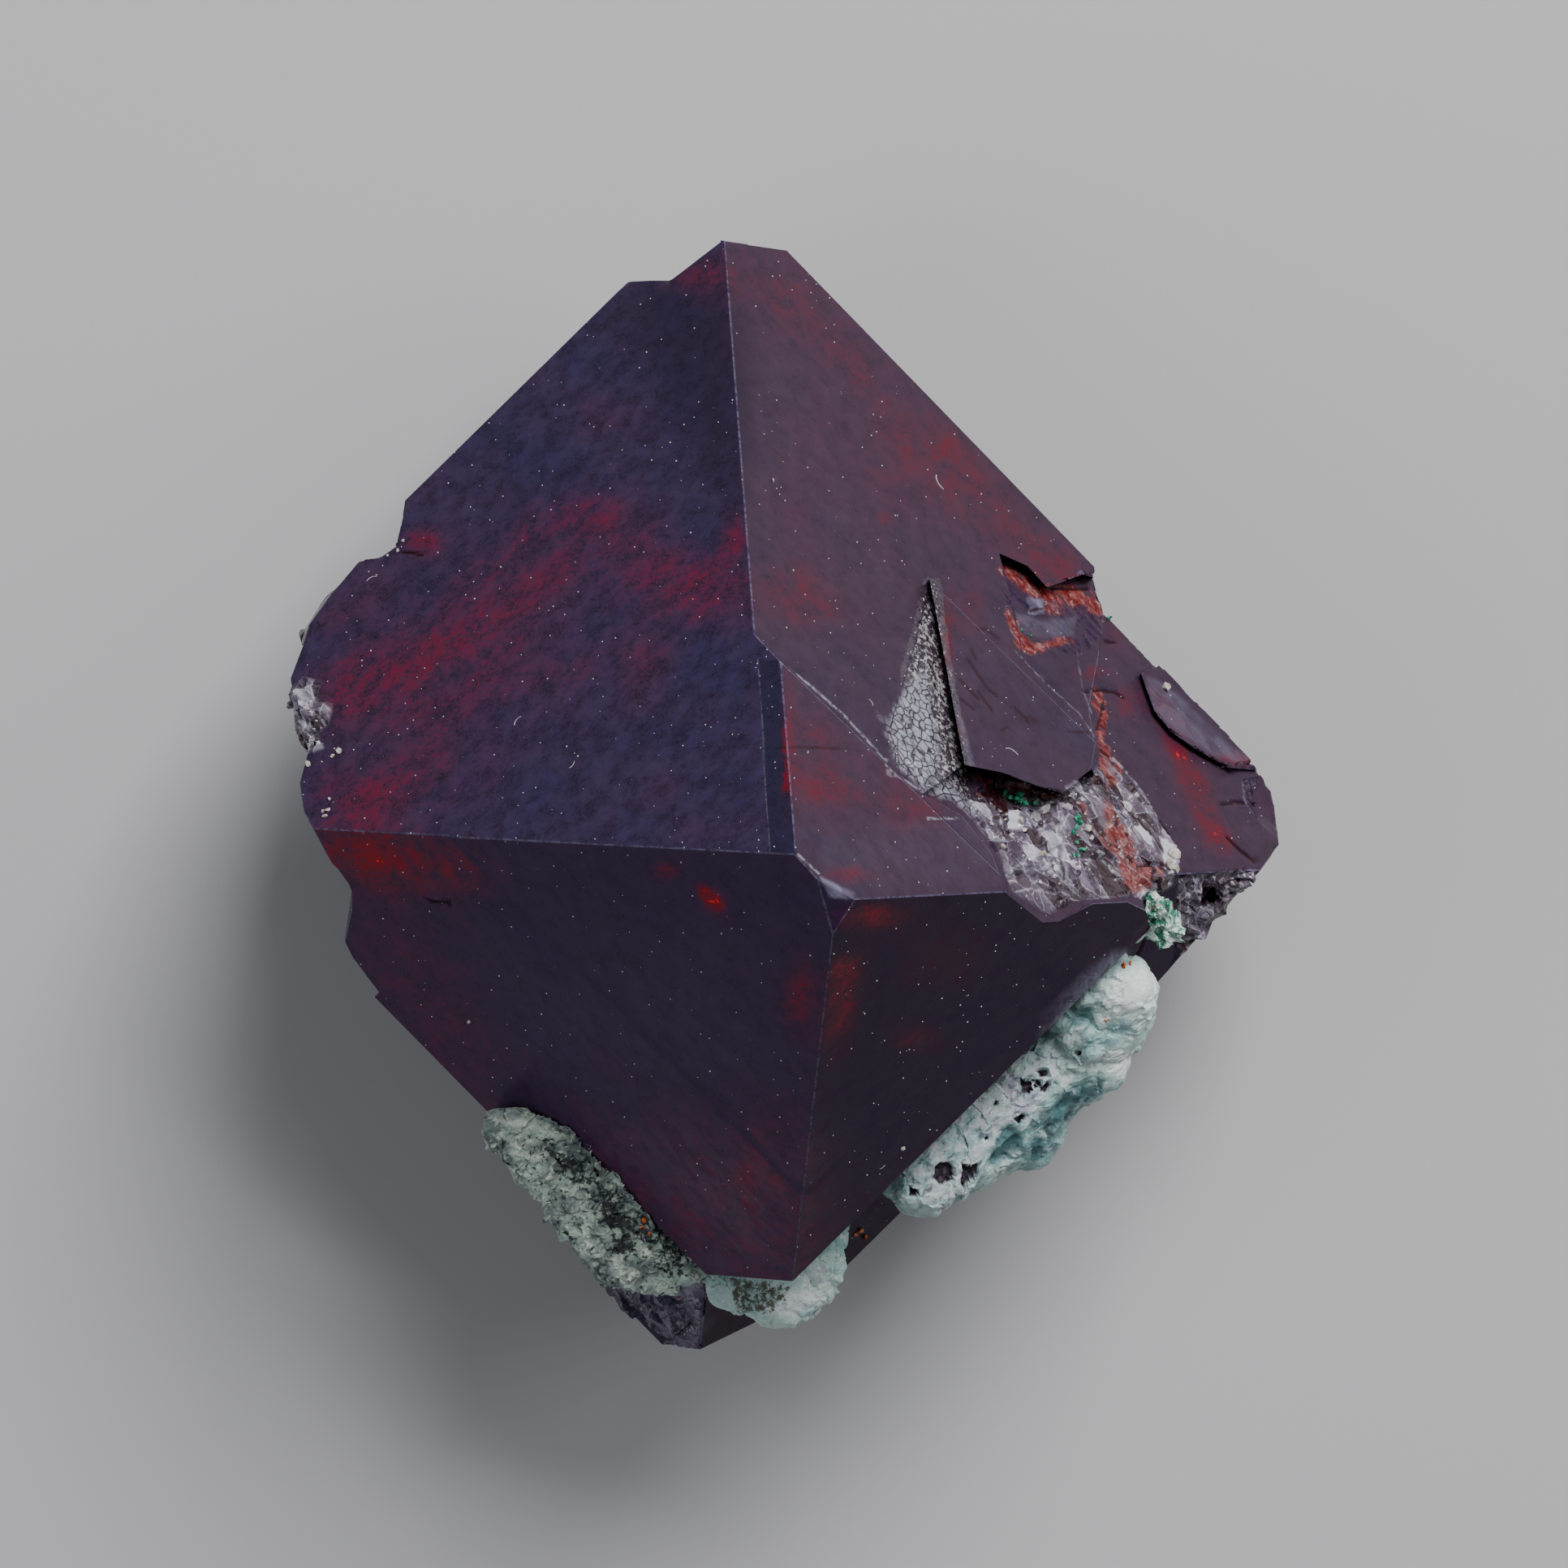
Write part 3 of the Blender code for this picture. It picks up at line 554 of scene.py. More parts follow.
sharp = [e for e in crystals.edges if stands_clear(e)]
rims = bmesh.ops.bevel(crystals, geom=sharp, offset=RIM, offset_type="OFFSET", segments=1,
                       profile=0.5, affect="EDGES", clamp_overlap=False)
for face in rims["faces"]:
    face.material_index = 1
low, high = np.array(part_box("cuprite_crystals")) / MM
for axis, end in ((0, high[0]), (1, high[1]), (2, LOW_WALL)):
    across = [float(i == axis) for i in range(3)]
    for cut in np.arange(low[axis] + GRID / 2, end, GRID):
        bmesh.ops.bisect_plane(crystals, plane_co=[cut * c for c in across], plane_no=across,
                               geom=crystals.verts[:] + crystals.edges[:] + crystals.faces[:])
bmesh.ops.triangulate(crystals, faces=crystals.faces[:])
refined(crystals, wanted_edge, 5)
crystals.normal_update()
crystals.verts.index_update()

co = np.array([v.co for v in crystals.verts])
outward = np.array([v.normal for v in crystals.verts])
px = photo_px(co)
facing = outward @ np.array(TOWARD)
front = (facing > SEEN) & (co[:, 2] > FRONT_FROM)
for i in np.nonzero(front)[0]:
    way = (EYE / MM - Vector(co[i])).normalized()
    start = Vector(co[i]) + Vector(outward[i]) * 0.05 + way * 0.15
    front[i] = whole_crystals.ray_cast(start, way)[0] is None
facing = front & (facing > CARRIES_MARKS)
rng = np.random.default_rng(FRACTURE_SEED)


def nearest(where, seeds):
    """Which seed is nearest to each point."""
    best = np.full(len(where), 1e9)
    which = np.zeros(len(where), int)
    for i, seed in enumerate(seeds):
        far = ((where - seed) ** 2).sum(axis=1)
        closer = far < best
        best[closer], which[closer] = far[closer], i
    return which


def broken_relief(where, mask, cell_mm, step_mm, tilt, along=None, pitch=FINE):
    """Heights of a break: each cell of a random split is a small tilted facet. The cells can be
    drawn out along a direction."""
    if along is not None:
        along = np.array(along) / np.linalg.norm(along)
        where = where - 0.6 * (where @ along)[:, None] * along
    chosen = np.nonzero(mask > 0)[0]
    heights = np.zeros(len(where))
    if not len(chosen):
        return heights
    count = max(8, int(len(chosen) * pitch * pitch * 0.5 / (cell_mm * cell_mm)))
    seeds = where[rng.choice(chosen, size=count, replace=False)]
    cell = nearest(where[chosen], seeds)
    level = rng.uniform(-step_mm, step_mm, count)
    slope = rng.normal(0, tilt, (count, 3))
    heights[chosen] = level[cell] + ((where[chosen] - seeds[cell]) * slope[cell]).sum(axis=1)
    return heights * mask


def lumpy_relief(where, mask, radii, count):
    """Heights of rounded lumps that crowd together, at random places where mask is above 0."""
    chosen = np.nonzero(mask > 0)[0]
    heights = np.zeros(len(chosen))
    if not len(chosen):
        return np.zeros(len(where))
    for seed in where[rng.choice(chosen, size=min(count, len(chosen)), replace=False)]:
        radius = rng.uniform(*radii)
        far = ((where[chosen] - seed) ** 2).sum(axis=1)
        heights = np.maximum(heights, np.sqrt(np.maximum(radius * radius - far, 0)))
    out = np.zeros(len(where))
    out[chosen] = heights
    return out * mask


relief = np.zeros(len(co))
marks = {name: np.zeros(len(co)) for name in
         ("red", "salmon", "pale", "tone", "cells", "grains", "side", "line", "painted_sheen", "shade")}
for name, cell, step, tilt, amount, tone in BREAKS:
    within = smooth(in_outline(px, BROKEN[name]), -4, 5) * front
    relief += broken_relief(co, within, cell, step, tilt, BREAK_GRAIN)
    relief += broken_relief(co, within, cell * 0.45, step * 0.25, tilt * 0.4)
    marks["pale"] = np.maximum(marks["pale"], within * amount)
    marks["tone"] = np.where(within > 0.02, tone, marks["tone"])
for outline, tone, rise, right, down in SHARDS:
    within = smooth(in_outline(px, outline), -1.0, 1.5) * front * (marks["pale"] > 0.1)
    middle = np.mean(outline, axis=0)
    slope = ((px - middle) @ np.array([right, down])) * PX_MM
    relief += within * np.clip(rise + slope, rise - 0.2, rise + 0.2)
    marks["tone"] = marks["tone"] * (1 - within) + tone * within
    rimmed = (1 - smooth(np.abs(in_outline(px, outline)), 0.4, 1.8)) * (marks["pale"] > 0.1) * front
    marks["tone"] += 0.30 * rimmed * (tone > 0.25)
# Painted sheen: pale patches on faces that the camera sees.
for outline, soft, strength in PAINTED_SHEENS:
    within = smooth(in_outline(px, outline), -soft, soft) * facing
    marks["painted_sheen"] = np.maximum(marks["painted_sheen"], within * strength)
for spot in DARK_SHADES:
    marks["shade"] += glow(px, *spot) * front
marks["cells"] = smooth(in_outline(px, ETCHED_CELLS), -7, 7) * facing
marks["grains"] = smooth(in_outline(px, ETCHED_GRAINS), -16, 9) * facing
marks["side"] = smooth(in_outline(px, PLATE_SIDE), -2, 2) * front
relief += broken_relief(co, marks["cells"], 0.22, 0.02, 0.12)
relief += broken_relief(co, marks["grains"], 0.13, 0.03, 0.15)
for spot in PAINTED_RED_GLOWS:
    marks["red"] += glow(px, *spot) * front
for spot in SALMON:
    marks["salmon"] += glow(px, *spot) * facing
# The low walls that are no crystal faces broke off the rock, so they are rough.
crystal_faces = np.array([(1, 1, 1), (1, 1, -1), (1, -1, 1), (-1, 1, 1)]) / math.sqrt(3)
off_face = 1 - np.abs(outward @ crystal_faces.T).max(axis=1)
rough = smooth(off_face, 0.05, 0.14) * smooth(LOW_WALL - co[:, 2], 0.2, 1.0)
rough *= outward[:, 2] > -0.5
worn = broken_relief(co, rough, 1.4, 0.12, 0.20, pitch=GRID)
worn += broken_relief(co, rough, 0.7, 0.05, 0.15, pitch=GRID)
relief += np.minimum(worn - 0.04 * rough, 0)
marks["pale"] = np.maximum(marks["pale"], 0.5 * rough)
marks["tone"] = np.where(rough > 0.02, np.maximum(marks["tone"], 0.26), marks["tone"])
for path in DARK_LINES:
    groove = (1 - smooth(from_path(px, path), 0.6, 3.0)) * facing
    relief -= GROOVE_DEPTH * groove
    marks["line"] = np.minimum(marks["line"], -groove)
for path in FAINT_LINES:
    groove = (1 - smooth(from_path(px, path), 1.0, 4.2)) * facing
    marks["line"] = np.minimum(marks["line"], -FAINT * groove)
# Painted highlights along edges and steps.
for path in PAINTED_HIGHLIGHT_LINES + THIN_PAINTED_HIGHLIGHT_LINES:
    share = 1.0 if path in PAINTED_HIGHLIGHT_LINES else THIN
    highlight_line = (1 - smooth(from_path(px, path), 0.8, 2.6)) * facing * share
    marks["line"] = np.where(highlight_line > 0.1, highlight_line, marks["line"])

for vert, height, normal in zip(crystals.verts, relief, outward):
    if height and vert.co.z > 0.01:
        vert.co += Vector(normal * height)
        vert.co.z = max(vert.co.z, 0.0)
cuprite_mesh = to_mesh(crystals, "cuprite_crystals")
for name, values in marks.items():
    mark(cuprite_mesh, name, values)
rim_faces = read(cuprite_mesh.polygons, "material_index", 1, np.int32)
mark(cuprite_mesh, "painted_rim_highlight", rim_faces > 0, domain="FACE")

# The four faces that meet at the front corner get painted light and shade: for each, a tone for how
# light falls on it and shows inside it, with how much fine dark crackle lies under it, and the
# colour of its painted red light.
FACE_LIGHT_AND_CRACKLE = {(-1, 1, 1): (0.029, 0.020, 0.055, 1.0), (1, 1, 1): (0.043, 0.026, 0.048, 0.26),
                (-1, -1, 1): (0.043, 0.023, 0.068, 0.30), (1, -1, 1): (0.012, 0.000, 0.021, 0.26)}
PAINTED_GLOW_COLOURS = {(-1, 1, 1): (0.130, 0.007, 0.030), (1, 1, 1): (0.105, 0.013, 0.026),
                (-1, -1, 1): (0.250, 0.005, 0.016), (1, -1, 1): (0.200, 0.003, 0.010)}
OTHER_COLOUR, OTHER_PAINTED_GLOW = (0.026, 0.016, 0.044, 0.5), (0.130, 0.006, 0.018)
SAME_WAY = 0.93
way = read(cuprite_mesh.polygons, "normal", 3)
for name, by_face, rest in (("face_light_and_crackle", FACE_LIGHT_AND_CRACKLE, OTHER_COLOUR),
                            ("painted_glow_colour", PAINTED_GLOW_COLOURS, OTHER_PAINTED_GLOW)):
    face_light_and_crackle = np.tile(np.array((*rest, 1.0)[:4]), (len(way), 1))
    for direction, colour in by_face.items():
        face_light_and_crackle[way @ np.array(direction) / math.sqrt(3) > SAME_WAY] = (*colour, 1.0)[:4]
    mark(cuprite_mesh, name, np.repeat(face_light_and_crackle, 3, axis=0), "FLOAT_COLOR", "CORNER")


def cuprite_finish(name, gloss, polish):
    """Dark copper oxide: navy and mauve clouds, dark crackle, painted light and shade per face,
    painted red light from inside with painted glints, painted sheen and painted edge highlights.
    """
    made, tree, surface = new_finish(name)
    where = in_mm(tree)
    drift = in_mm(tree, (3.2, 1.0, 1.0), (0, 0, math.radians(-45)))
    face = node(tree, "Attribute", attribute_name="face_light_and_crackle")
    lit = node(tree, "Attribute", attribute_name="painted_glow_colour").outputs["Color"]
    crackle = face.outputs["Alpha"]
    uneven = plus(tree, times(tree, crackle, 0.6), 0.4)
    broad = cloud(tree, drift, 0.42, 4, 0.55)
    mottle = cloud(tree, where, 1.5, 6, 0.68)
    grain = cloud(tree, where, 6.0, 4, 0.65)
    body = mixed(tree, uneven, face.outputs["Color"],
                 bands(tree, broad, ((0.30, (0.74, 0.90, 1.06)), (0.50, (0.98, 0.97, 1.0)),
                                     (0.70, (1.26, 0.97, 0.96)))), "MULTIPLY")
    body = mixed(tree, uneven, body,
                 bands(tree, mottle, ((0.30, (0.62, 0.58, 0.62)), (0.70, (1.42, 1.42, 1.36)))),
                 "MULTIPLY")
    body = over(tree, body, (0.009, 0.005, 0.018, 1), drawn(tree, "shade"), 0.0, 1.0, 0.0, 0.55)
    threads = calc(tree, "SUBTRACT", cloud(tree, where, 3.6, 4, 0.6, 0.6), 0.5)
    threads = times(tree, ramp(tree, calc(tree, "ABSOLUTE", threads), 0.0, 0.04, 1.0, 0.0),
                    ramp(tree, mottle, 0.42, 0.58, 1.0, 0.2))
    threads = times(tree, threads, crackle)

    # Painted red light: red inner reflections and glints painted into the colour, in veins, and the
    # side of the growth plate.
    veins = cloud(tree, in_mm(tree, (2.0, 1.0, 1.0), (0, 0, math.radians(38))), 0.7, 7, 0.66, 0.3)
    red = times(tree, drawn(tree, "red"), ramp(tree, veins, 0.26, 0.74, 0.35, 1.45))
    red = times(tree, red, ramp(tree, mottle, 0.30, 0.70, 0.60, 1.45))
    red = times(tree, red, ramp(tree, grain, 0.30, 0.70, 0.70, 1.30))
    red = plus(tree, red, ramp(tree, veins, 0.56, 0.80, 0.0, 0.16))
    body = over(tree, body, lit, red, -0.1, 1.7, 0.0, 0.98)
    # Painted glint: where the painted red is strongest, it turns bright red.
    body = over(tree, body, (0.70, 0.010, 0.012, 1), red, 2.2, 3.6)
    side = over(tree, (0.014, 0.013, 0.036, 1), (0.13, 0.003, 0.008, 1), red, 0.5, 1.1)
    body = over(tree, body, side, drawn(tree, "side"), 0.3, 0.8, 0.0, 0.75)
    body = mixed(tree, times(tree, threads, 0.66), body, (0.007, 0.004, 0.012, 1))

    # The breaks: glassy splinters from dark red to white, with salmon streaks; then the painted
    # sheen.
    strips = in_mm(tree, (2.4, 1.0, 1.4), (0, 0, math.radians(-52)))
    shard = cloud(tree, strips, 2.2, 5, 0.62, 0.8)
    sparkle = cloud(tree, where, 7.0, 4, 0.7)
    salmon = times(tree, drawn(tree, "salmon"), ramp(tree, shard, 0.36, 0.60, 0.40, 1.5))
    salmon = times(tree, salmon, ramp(tree, grain, 0.34, 0.62, 0.65, 1.25))
    fibrous = in_mm(tree, (1.0, 1.8, 1.0), (0, 0, math.radians(38)))
    flesh = bands(tree, cloud(tree, fibrous, 5.0, 6, 0.72, 0.5),
                  ((0.36, (0.050, 0.004, 0.004)), (0.46, (0.17, 0.018, 0.016)),
                   (0.54, (0.23, 0.062, 0.055)), (0.66, (0.32, 0.20, 0.20))))
    tone = plus(tree, drawn(tree, "tone"), ramp(tree, shard, 0.32, 0.68, -0.16, 0.16))
    splinters = in_mm(tree, (2.6, 1.0, 1.6), (0, 0, math.radians(-52)))
    splinters = node(tree, "Mix", {0: 0.16, 4: splinters, 5: node(
        tree, "TexNoise", {"Vector": where, "Scale": 2.4, "Detail": 3.0}).outputs["Color"]},
        data_type="VECTOR").outputs[1]
    facet = node(tree, "TexVoronoi", {"Vector": splinters, "Scale": 2.6}).outputs["Color"]
    ridges = cracks(tree, splinters, 2.6)
    for pattern, change in ((facet, (0.15, 0.85, -0.26, 0.26)), (ridges, (0.0, 0.05, 0.30, 0.0)),
                            (sparkle, (0.64, 0.78, 0.0, 0.30)),
                            (sparkle, (0.24, 0.36, -0.20, 0.0))):
        tone = plus(tree, tone, ramp(tree, pattern, *change))
    shards = bands(tree, tone, ((0.04, (0.022, 0.004, 0.005)), (0.24, (0.040, 0.024, 0.036)),
                                (0.50, (0.090, 0.068, 0.100)), (0.76, (0.225, 0.195, 0.265)),
                                (0.98, (0.52, 0.51, 0.58))))
    body = mixed(tree, drawn(tree, "pale"), body, shards)
    body = over(tree, body, flesh, salmon, 0.30, 0.80, 0.0, 0.88)
    # Painted sheen and reflections: pale lilac laid over the face.
    painted_sheen = times(tree, drawn(tree, "painted_sheen"), ramp(tree, shard, 0.34, 0.62, 0.30, 1.2))
    body = mixed(tree, painted_sheen, body, (0.170, 0.157, 0.235, 1))

    # The etched hollow: white cells with dark walls, and finer white grains beside the plate.
    walls = cracks(tree, where, 3.1)
    scale_white = times(tree, ramp(tree, walls, 0.03, 0.11),
                        ramp(tree, mottle, 0.36, 0.50, 0.25, 0.95))
    cells, grains = drawn(tree, "cells"), drawn(tree, "grains")
    body = mixed(tree, times(tree, cells, 0.7), body, (0.030, 0.024, 0.036, 1))
    fleck = plus(tree, cloud(tree, in_mm(tree, (1.0, 1.4, 1.0)), 7.0, 4, 0.7),
                 times(tree, calc(tree, "SUBTRACT", grains, 1.0), 0.25))
    body = mixed(tree, times(tree, grains, 0.7), body, (0.030, 0.021, 0.028, 1))
    body = mixed(tree, times(tree, cells, scale_white), body, (0.30, 0.31, 0.37, 1))
    body = over(tree, body, (0.40, 0.39, 0.42, 1), fleck, 0.50, 0.58, 0.0, 0.9)

    # Cracks, and painted highlights on step edges and on the bevelled rims.
    line = drawn(tree, "line")
    body = over(tree, body, (0.020, 0.003, 0.004, 1), line, -0.9, -0.2, 0.85, 0.0)
    # Painted edge highlight along the pale lines.
    pale = times(tree, ramp(tree, line, 0.25, 0.95), ramp(tree, grain, 0.38, 0.58, 0.05, 0.75))
    body = mixed(tree, pale, body, (0.27, 0.26, 0.31, 1))
    # Painted highlight on the bevelled rims.
    painted_rim_highlight = times(tree, drawn(tree, "painted_rim_highlight"), ramp(tree, grain, 0.36, 0.64, 0.2, 0.9))
    body = mixed(tree, painted_rim_highlight, body, (0.115, 0.098, 0.165, 1))
    # Painted glow: the brightest red glints give off light of their own, though no lamp is there.
    painted_red_glint = over(tree, (0, 0, 0, 1), (0.75, 0.01, 0.004, 1), red, 2.6, 3.8)
    fill(tree, surface, {
        "Base Color": body, "Emission Color": painted_red_glint, "Emission Strength": 0.6,
        "Roughness": ramp(tree, mottle, 0.25, 0.75, polish, polish + 0.2),
        "Specular IOR Level": gloss, "Normal": bump(tree, grain, 0.012, 0.45)})
    return made


cuprite_mesh.materials.append(cuprite_finish("cuprite", 0.09, 0.24))
cuprite_mesh.materials.append(cuprite_finish("cuprite_broken", 0.55, 0.14))
broken_mark = np.maximum.reduce([marks["pale"], marks["cells"], marks["grains"]])
corners = read(cuprite_mesh.polygons, "vertices", 3, np.int32)
cuprite_mesh.polygons.foreach_set(
    "material_index", (broken_mark[corners].min(axis=1) > 0.25).astype(np.int32))
cuprite_piece = to_object("cuprite_crystals_detailed", cuprite_mesh)
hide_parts("cuprite_crystals")
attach(cuprite_piece, "root")

# The three chrysocolla crusts: waxy blue-green copper silicate that settled on the cuprite in
# rounded lumps and partly broke off flat. The right one has a thin upper layer with holes down to
# the cuprite, the bottom one is rough, and the left one is mixed with dark grains.
CRUSTS = {
    "chrysocolla_right_crust": dict(
        finish="chrysocolla", pitch=0.085, grow=0.26, seed=21, flat=0.7, layer_only=True,
        jagged=1.0, lumps=((0.35, 0.80), 120), pearls=((0.12, 0.26), 260),
        drawn_in=[((1097, 1459), (0.700, 0.714), 0.20), ((1354, 1207), (0.714, -0.700), 0.30)]),
    "chrysocolla_bottom_crust": dict(
        finish="chrysocolla", pitch=0.075, grow=0.22, seed=22, flat=0.45, layer_only=False,
        jagged=1.0, lumps=((0.20, 0.45), 70), pearls=((0.08, 0.18), 200),
        drawn_in=[((1018, 0), (1, 0), 0.60)]),
    "chrysocolla_left_crust": dict(
        finish="dark_chrysocolla", pitch=0.075, grow=0.22, seed=23, flat=0.75, layer_only=False,
        jagged=2.2, lumps=((0.18, 0.40), 130), pearls=((0.08, 0.17), 400), drawn_in=[])}
LUMP_SHARE, PEARL_SHARE, PEARLS_LOST = 0.36, 0.42, 0.30
LAYER_RISE, SCALE_SIZE, SCALE_STEP, SCALE_TILT = 0.22, 0.34, 0.035, 0.16
HOLE_DEPTH, HOLLOW_DEPTH = 0.30, 0.25
UPPER_LAYER = [(1284, 1286), (1322, 1300), (1306, 1326), (1284, 1352), (1260, 1388), (1222, 1418),
               (1208, 1434), (1186, 1468), (1157, 1480), (1128, 1466), (1116, 1440), (1180, 1380)]
DARK_HOLES = [
    [(1152, 1441), (1158, 1434), (1169, 1433), (1177, 1440), (1179, 1450), (1172, 1460),
     (1160, 1461), (1152, 1453)],
    [(1186, 1434), (1196, 1438), (1208, 1434), (1204, 1448), (1190, 1466), (1184, 1460),
     (1188, 1448)],
    [(1118, 1462), (1126, 1466), (1132, 1474), (1122, 1476)],
    [(1257, 1326), (1262, 1334), (1272, 1332), (1270, 1346), (1260, 1348), (1256, 1338)],
    [(1276, 1322), (1288, 1318), (1294, 1326), (1286, 1330)],
    [(1272, 1336), (1282, 1332), (1284, 1338), (1274, 1342)],
    [(1282, 1342), (1292, 1334), (1294, 1344), (1286, 1350)],
    [(1249, 1380), (1258, 1374), (1266, 1376), (1258, 1386)],
    [(1222, 1360), (1228, 1356), (1228, 1362)], [(1210, 1402), (1220, 1400), (1214, 1408)],
    [(1322, 1298), (1328, 1296), (1328, 1302), (1324, 1304)]]
# Pale lobes: whitish chrysocolla, with a painted highlight on the lit tops of the lumps.
PALE_LOBES_AND_HIGHLIGHTS = [
    (1405, 1218, 34, 26, -20, 1.2), (1372, 1232, 26, 20, -30, 0.5), (1379, 1310, 18, 14, 0, 1.1),
    (1326, 1276, 8, 7, 0, 1.0), (1359, 1257, 9, 6, 0, 0.8), (1365, 1300, 30, 8, -30, 0.5),
    (980, 1606, 36, 12, -15, 0.7), (975, 1600, 60, 26, 0, 0.4), (1000, 1560, 20, 24, 0, 0.5),
    (640, 1384, 30, 8, 12, 0.8),
    (690, 1398, 16, 16, 0, 0.6), (798, 1545, 8, 8, 0, 1.3), (760, 1555, 10, 22, 10, 0.6),
    (1162, 1446, 26, 24, 0, 0.5), (1285, 1372, 22, 12, -45, 0.5), (650, 1425, 26, 5, 15, 0.8)]
# Painted shade: darker teal in the hollows between the lumps, which are also sunk in.
TEAL_HOLLOW_SHADES = [
    (1244, 1405, 12, 12, -40, 1.6), (1232, 1428, 14, 10, -30, 1.2), (1300, 1385, 44, 20, -40, 0.7),
    (1262, 1446, 40, 12, -30, 0.4), (1330, 1350, 40, 16, -40, 0.5), (1336, 1256, 12, 26, 35, 0.7),
    (1350, 1290, 26, 10, -10, 0.4), (1280, 1420, 8, 14, 0, 0.8), (1316, 1376, 8, 12, 0, 0.8)]
LILAC_PATCHES = [
    (1246, 1338, 14, 14, 0, 1.3), (1262, 1360, 22, 12, -45, 0.9), (1276, 1312, 16, 8, -40, 0.5),
    (1165, 1447, 16, 14, 0, 0.8), (1222, 1384, 16, 9, -40, 0.7), (1190, 1410, 20, 9, -40, 0.5),
    (1140, 1450, 10, 14, 0, 0.5), (960, 1590, 30, 14, 0, 0.4), (1010, 1570, 16, 20, 0, 0.6)]
DARK_PATCHES = [
    (706, 1440, 26, 12, 25, 0.9), (745, 1470, 18, 12, 30, 0.6), (752, 1498, 20, 12, 40, 0.9),
    (780, 1512, 16, 10, 30, 0.8), (766, 1535, 13, 10, 0, 1.4), (800, 1528, 14, 8, 45, 0.7),
    (826, 1536, 20, 10, 40, 0.8), (822, 1560, 16, 10, 0, 0.8), (676, 1408, 12, 6, 15, 0.5),
    (926, 1588, 22, 16, 0, 1.2), (940, 1600, 22, 14, 0, 1.3), (920, 1606, 14, 12, 0, 1.1),
    (905, 1580, 16, 8, 20, 1.0), (966, 1592, 14, 8, 0, 0.8), (1004, 1594, 10, 6, 0, 0.5),
    (958, 1572, 14, 5, 10, 0.8), (948, 1614, 8, 5, 0, 0.8), (1392, 1330, 8, 5, 0, 0.6)]


def chrysocolla(name, dark_share, **shades):
    """Waxy mottled finish, with its pale, blue-green and dark shades, painted shade in the hollows
    and painted highlight on the pale lobes.
    """
    made, tree, surface = new_finish(name)
    shades = {shade: (*colour, 1) for shade, colour in shades.items()}
    where = in_mm(tree)
    broad = cloud(tree, where, 0.7, 5, 0.6)
    mottle = cloud(tree, where, 2.2, 6, 0.70, 0.6)
    small = cloud(tree, where, 5.0, 6, 0.72, 0.4)
    fine = cloud(tree, where, 12.0, 4, 0.65)
    body = over(tree, shades["blue_green"], shades["mint"], broad, 0.40, 0.60)
    body = over(tree, body, shades["pale"], mottle, 0.50, 0.66, 0.0, 0.8)
    body = over(tree, body, shades["blue_green"], small, 0.34, 0.48, 0.65, 0.0)
    lilac = times(tree, drawn(tree, "lilac"), ramp(tree, small, 0.40, 0.58, 0.3, 1.2))
    lilac = plus(tree, lilac, ramp(tree, small, 0.56, 0.70, 0.0, 0.45))
    body = over(tree, body, shades["lilac"], lilac, 0.25, 0.8, 0.0, 0.85)
    # The upper layer is streaked, from nearly white to slate.
    streaks = cloud(tree, in_mm(tree, (1.7, 1.0, 1.0), (0, 0, math.radians(45))), 3.6, 6, 0.74, 0.3)
    for colour, share in (((0.64, 0.64, 0.72, 1), ramp(tree, streaks, 0.48, 0.56, 0.0, 0.75)),
                          ((0.12, 0.12, 0.17, 1), ramp(tree, streaks, 0.38, 0.45, 0.85, 0.0))):
        body = mixed(tree, times(tree, drawn(tree, "layer"), share), body, colour)
    # Pale lobes, partly painted highlight.
    body = over(tree, body, shades["pale"], drawn(tree, "white"), 0.2, 1.0, 0.0, 0.8)
    # Painted shade in the hollows.
    hollow = times(tree, drawn(tree, "teal_hollow_and_shade"), ramp(tree, mottle, 0.35, 0.60, 1.3, 0.7))
    body = over(tree, body, shades["hollow"], hollow, 0.15, 0.85, 0.0, 0.88)
    dark = plus(tree, times(tree, calc(tree, "MINIMUM", drawn(tree, "dark"), 1.1), 0.17),
                times(tree, small, dark_share))
    body = over(tree, body, shades["dark"], dark, 0.50, 0.58, 0.0, 0.95)
    cuprite = over(tree, (0.022, 0.012, 0.024, 1), (0.10, 0.075, 0.12, 1), small, 0.45, 0.60)
    body = over(tree, body, cuprite, drawn(tree, "hole"), 0.3, 0.7)
    body = over(tree, body, shades["speck"], fine, 0.60, 0.76, 0.0, 0.35)
    fill(tree, surface, {
        "Base Color": body, "Roughness": ramp(tree, mottle, 0.2, 0.8, 0.34, 0.66),
        "Specular IOR Level": 0.4, "Subsurface Weight": 0.10, "Subsurface Scale": 0.3 * MM,
        "Subsurface Radius": (0.4, 0.7, 0.6), "Normal": bump(tree, small, 0.07, 0.8)})
    return made


finishes = {
    "chrysocolla": chrysocolla(
        "chrysocolla", 0.74, mint=(0.52, 0.68, 0.65), blue_green=(0.30, 0.50, 0.50),
        pale=(0.80, 0.86, 0.85), lilac=(0.32, 0.30, 0.40), hollow=(0.050, 0.17, 0.19),
        dark=(0.075, 0.080, 0.055), speck=(0.14, 0.22, 0.20)),
    "dark_chrysocolla": chrysocolla(
        "dark_chrysocolla", 0.90, mint=(0.44, 0.56, 0.49), blue_green=(0.13, 0.17, 0.17),
        pale=(0.78, 0.84, 0.74), lilac=(0.26, 0.26, 0.34), hollow=(0.02, 0.05, 0.05),
        dark=(0.012, 0.016, 0.020), speck=(0.42, 0.46, 0.40))}


def applied(holder):
    """The mesh that an object's modifiers make."""
    holder = holder.evaluated_get(bpy.context.evaluated_depsgraph_get())
    return bpy.data.meshes.new_from_object(holder)


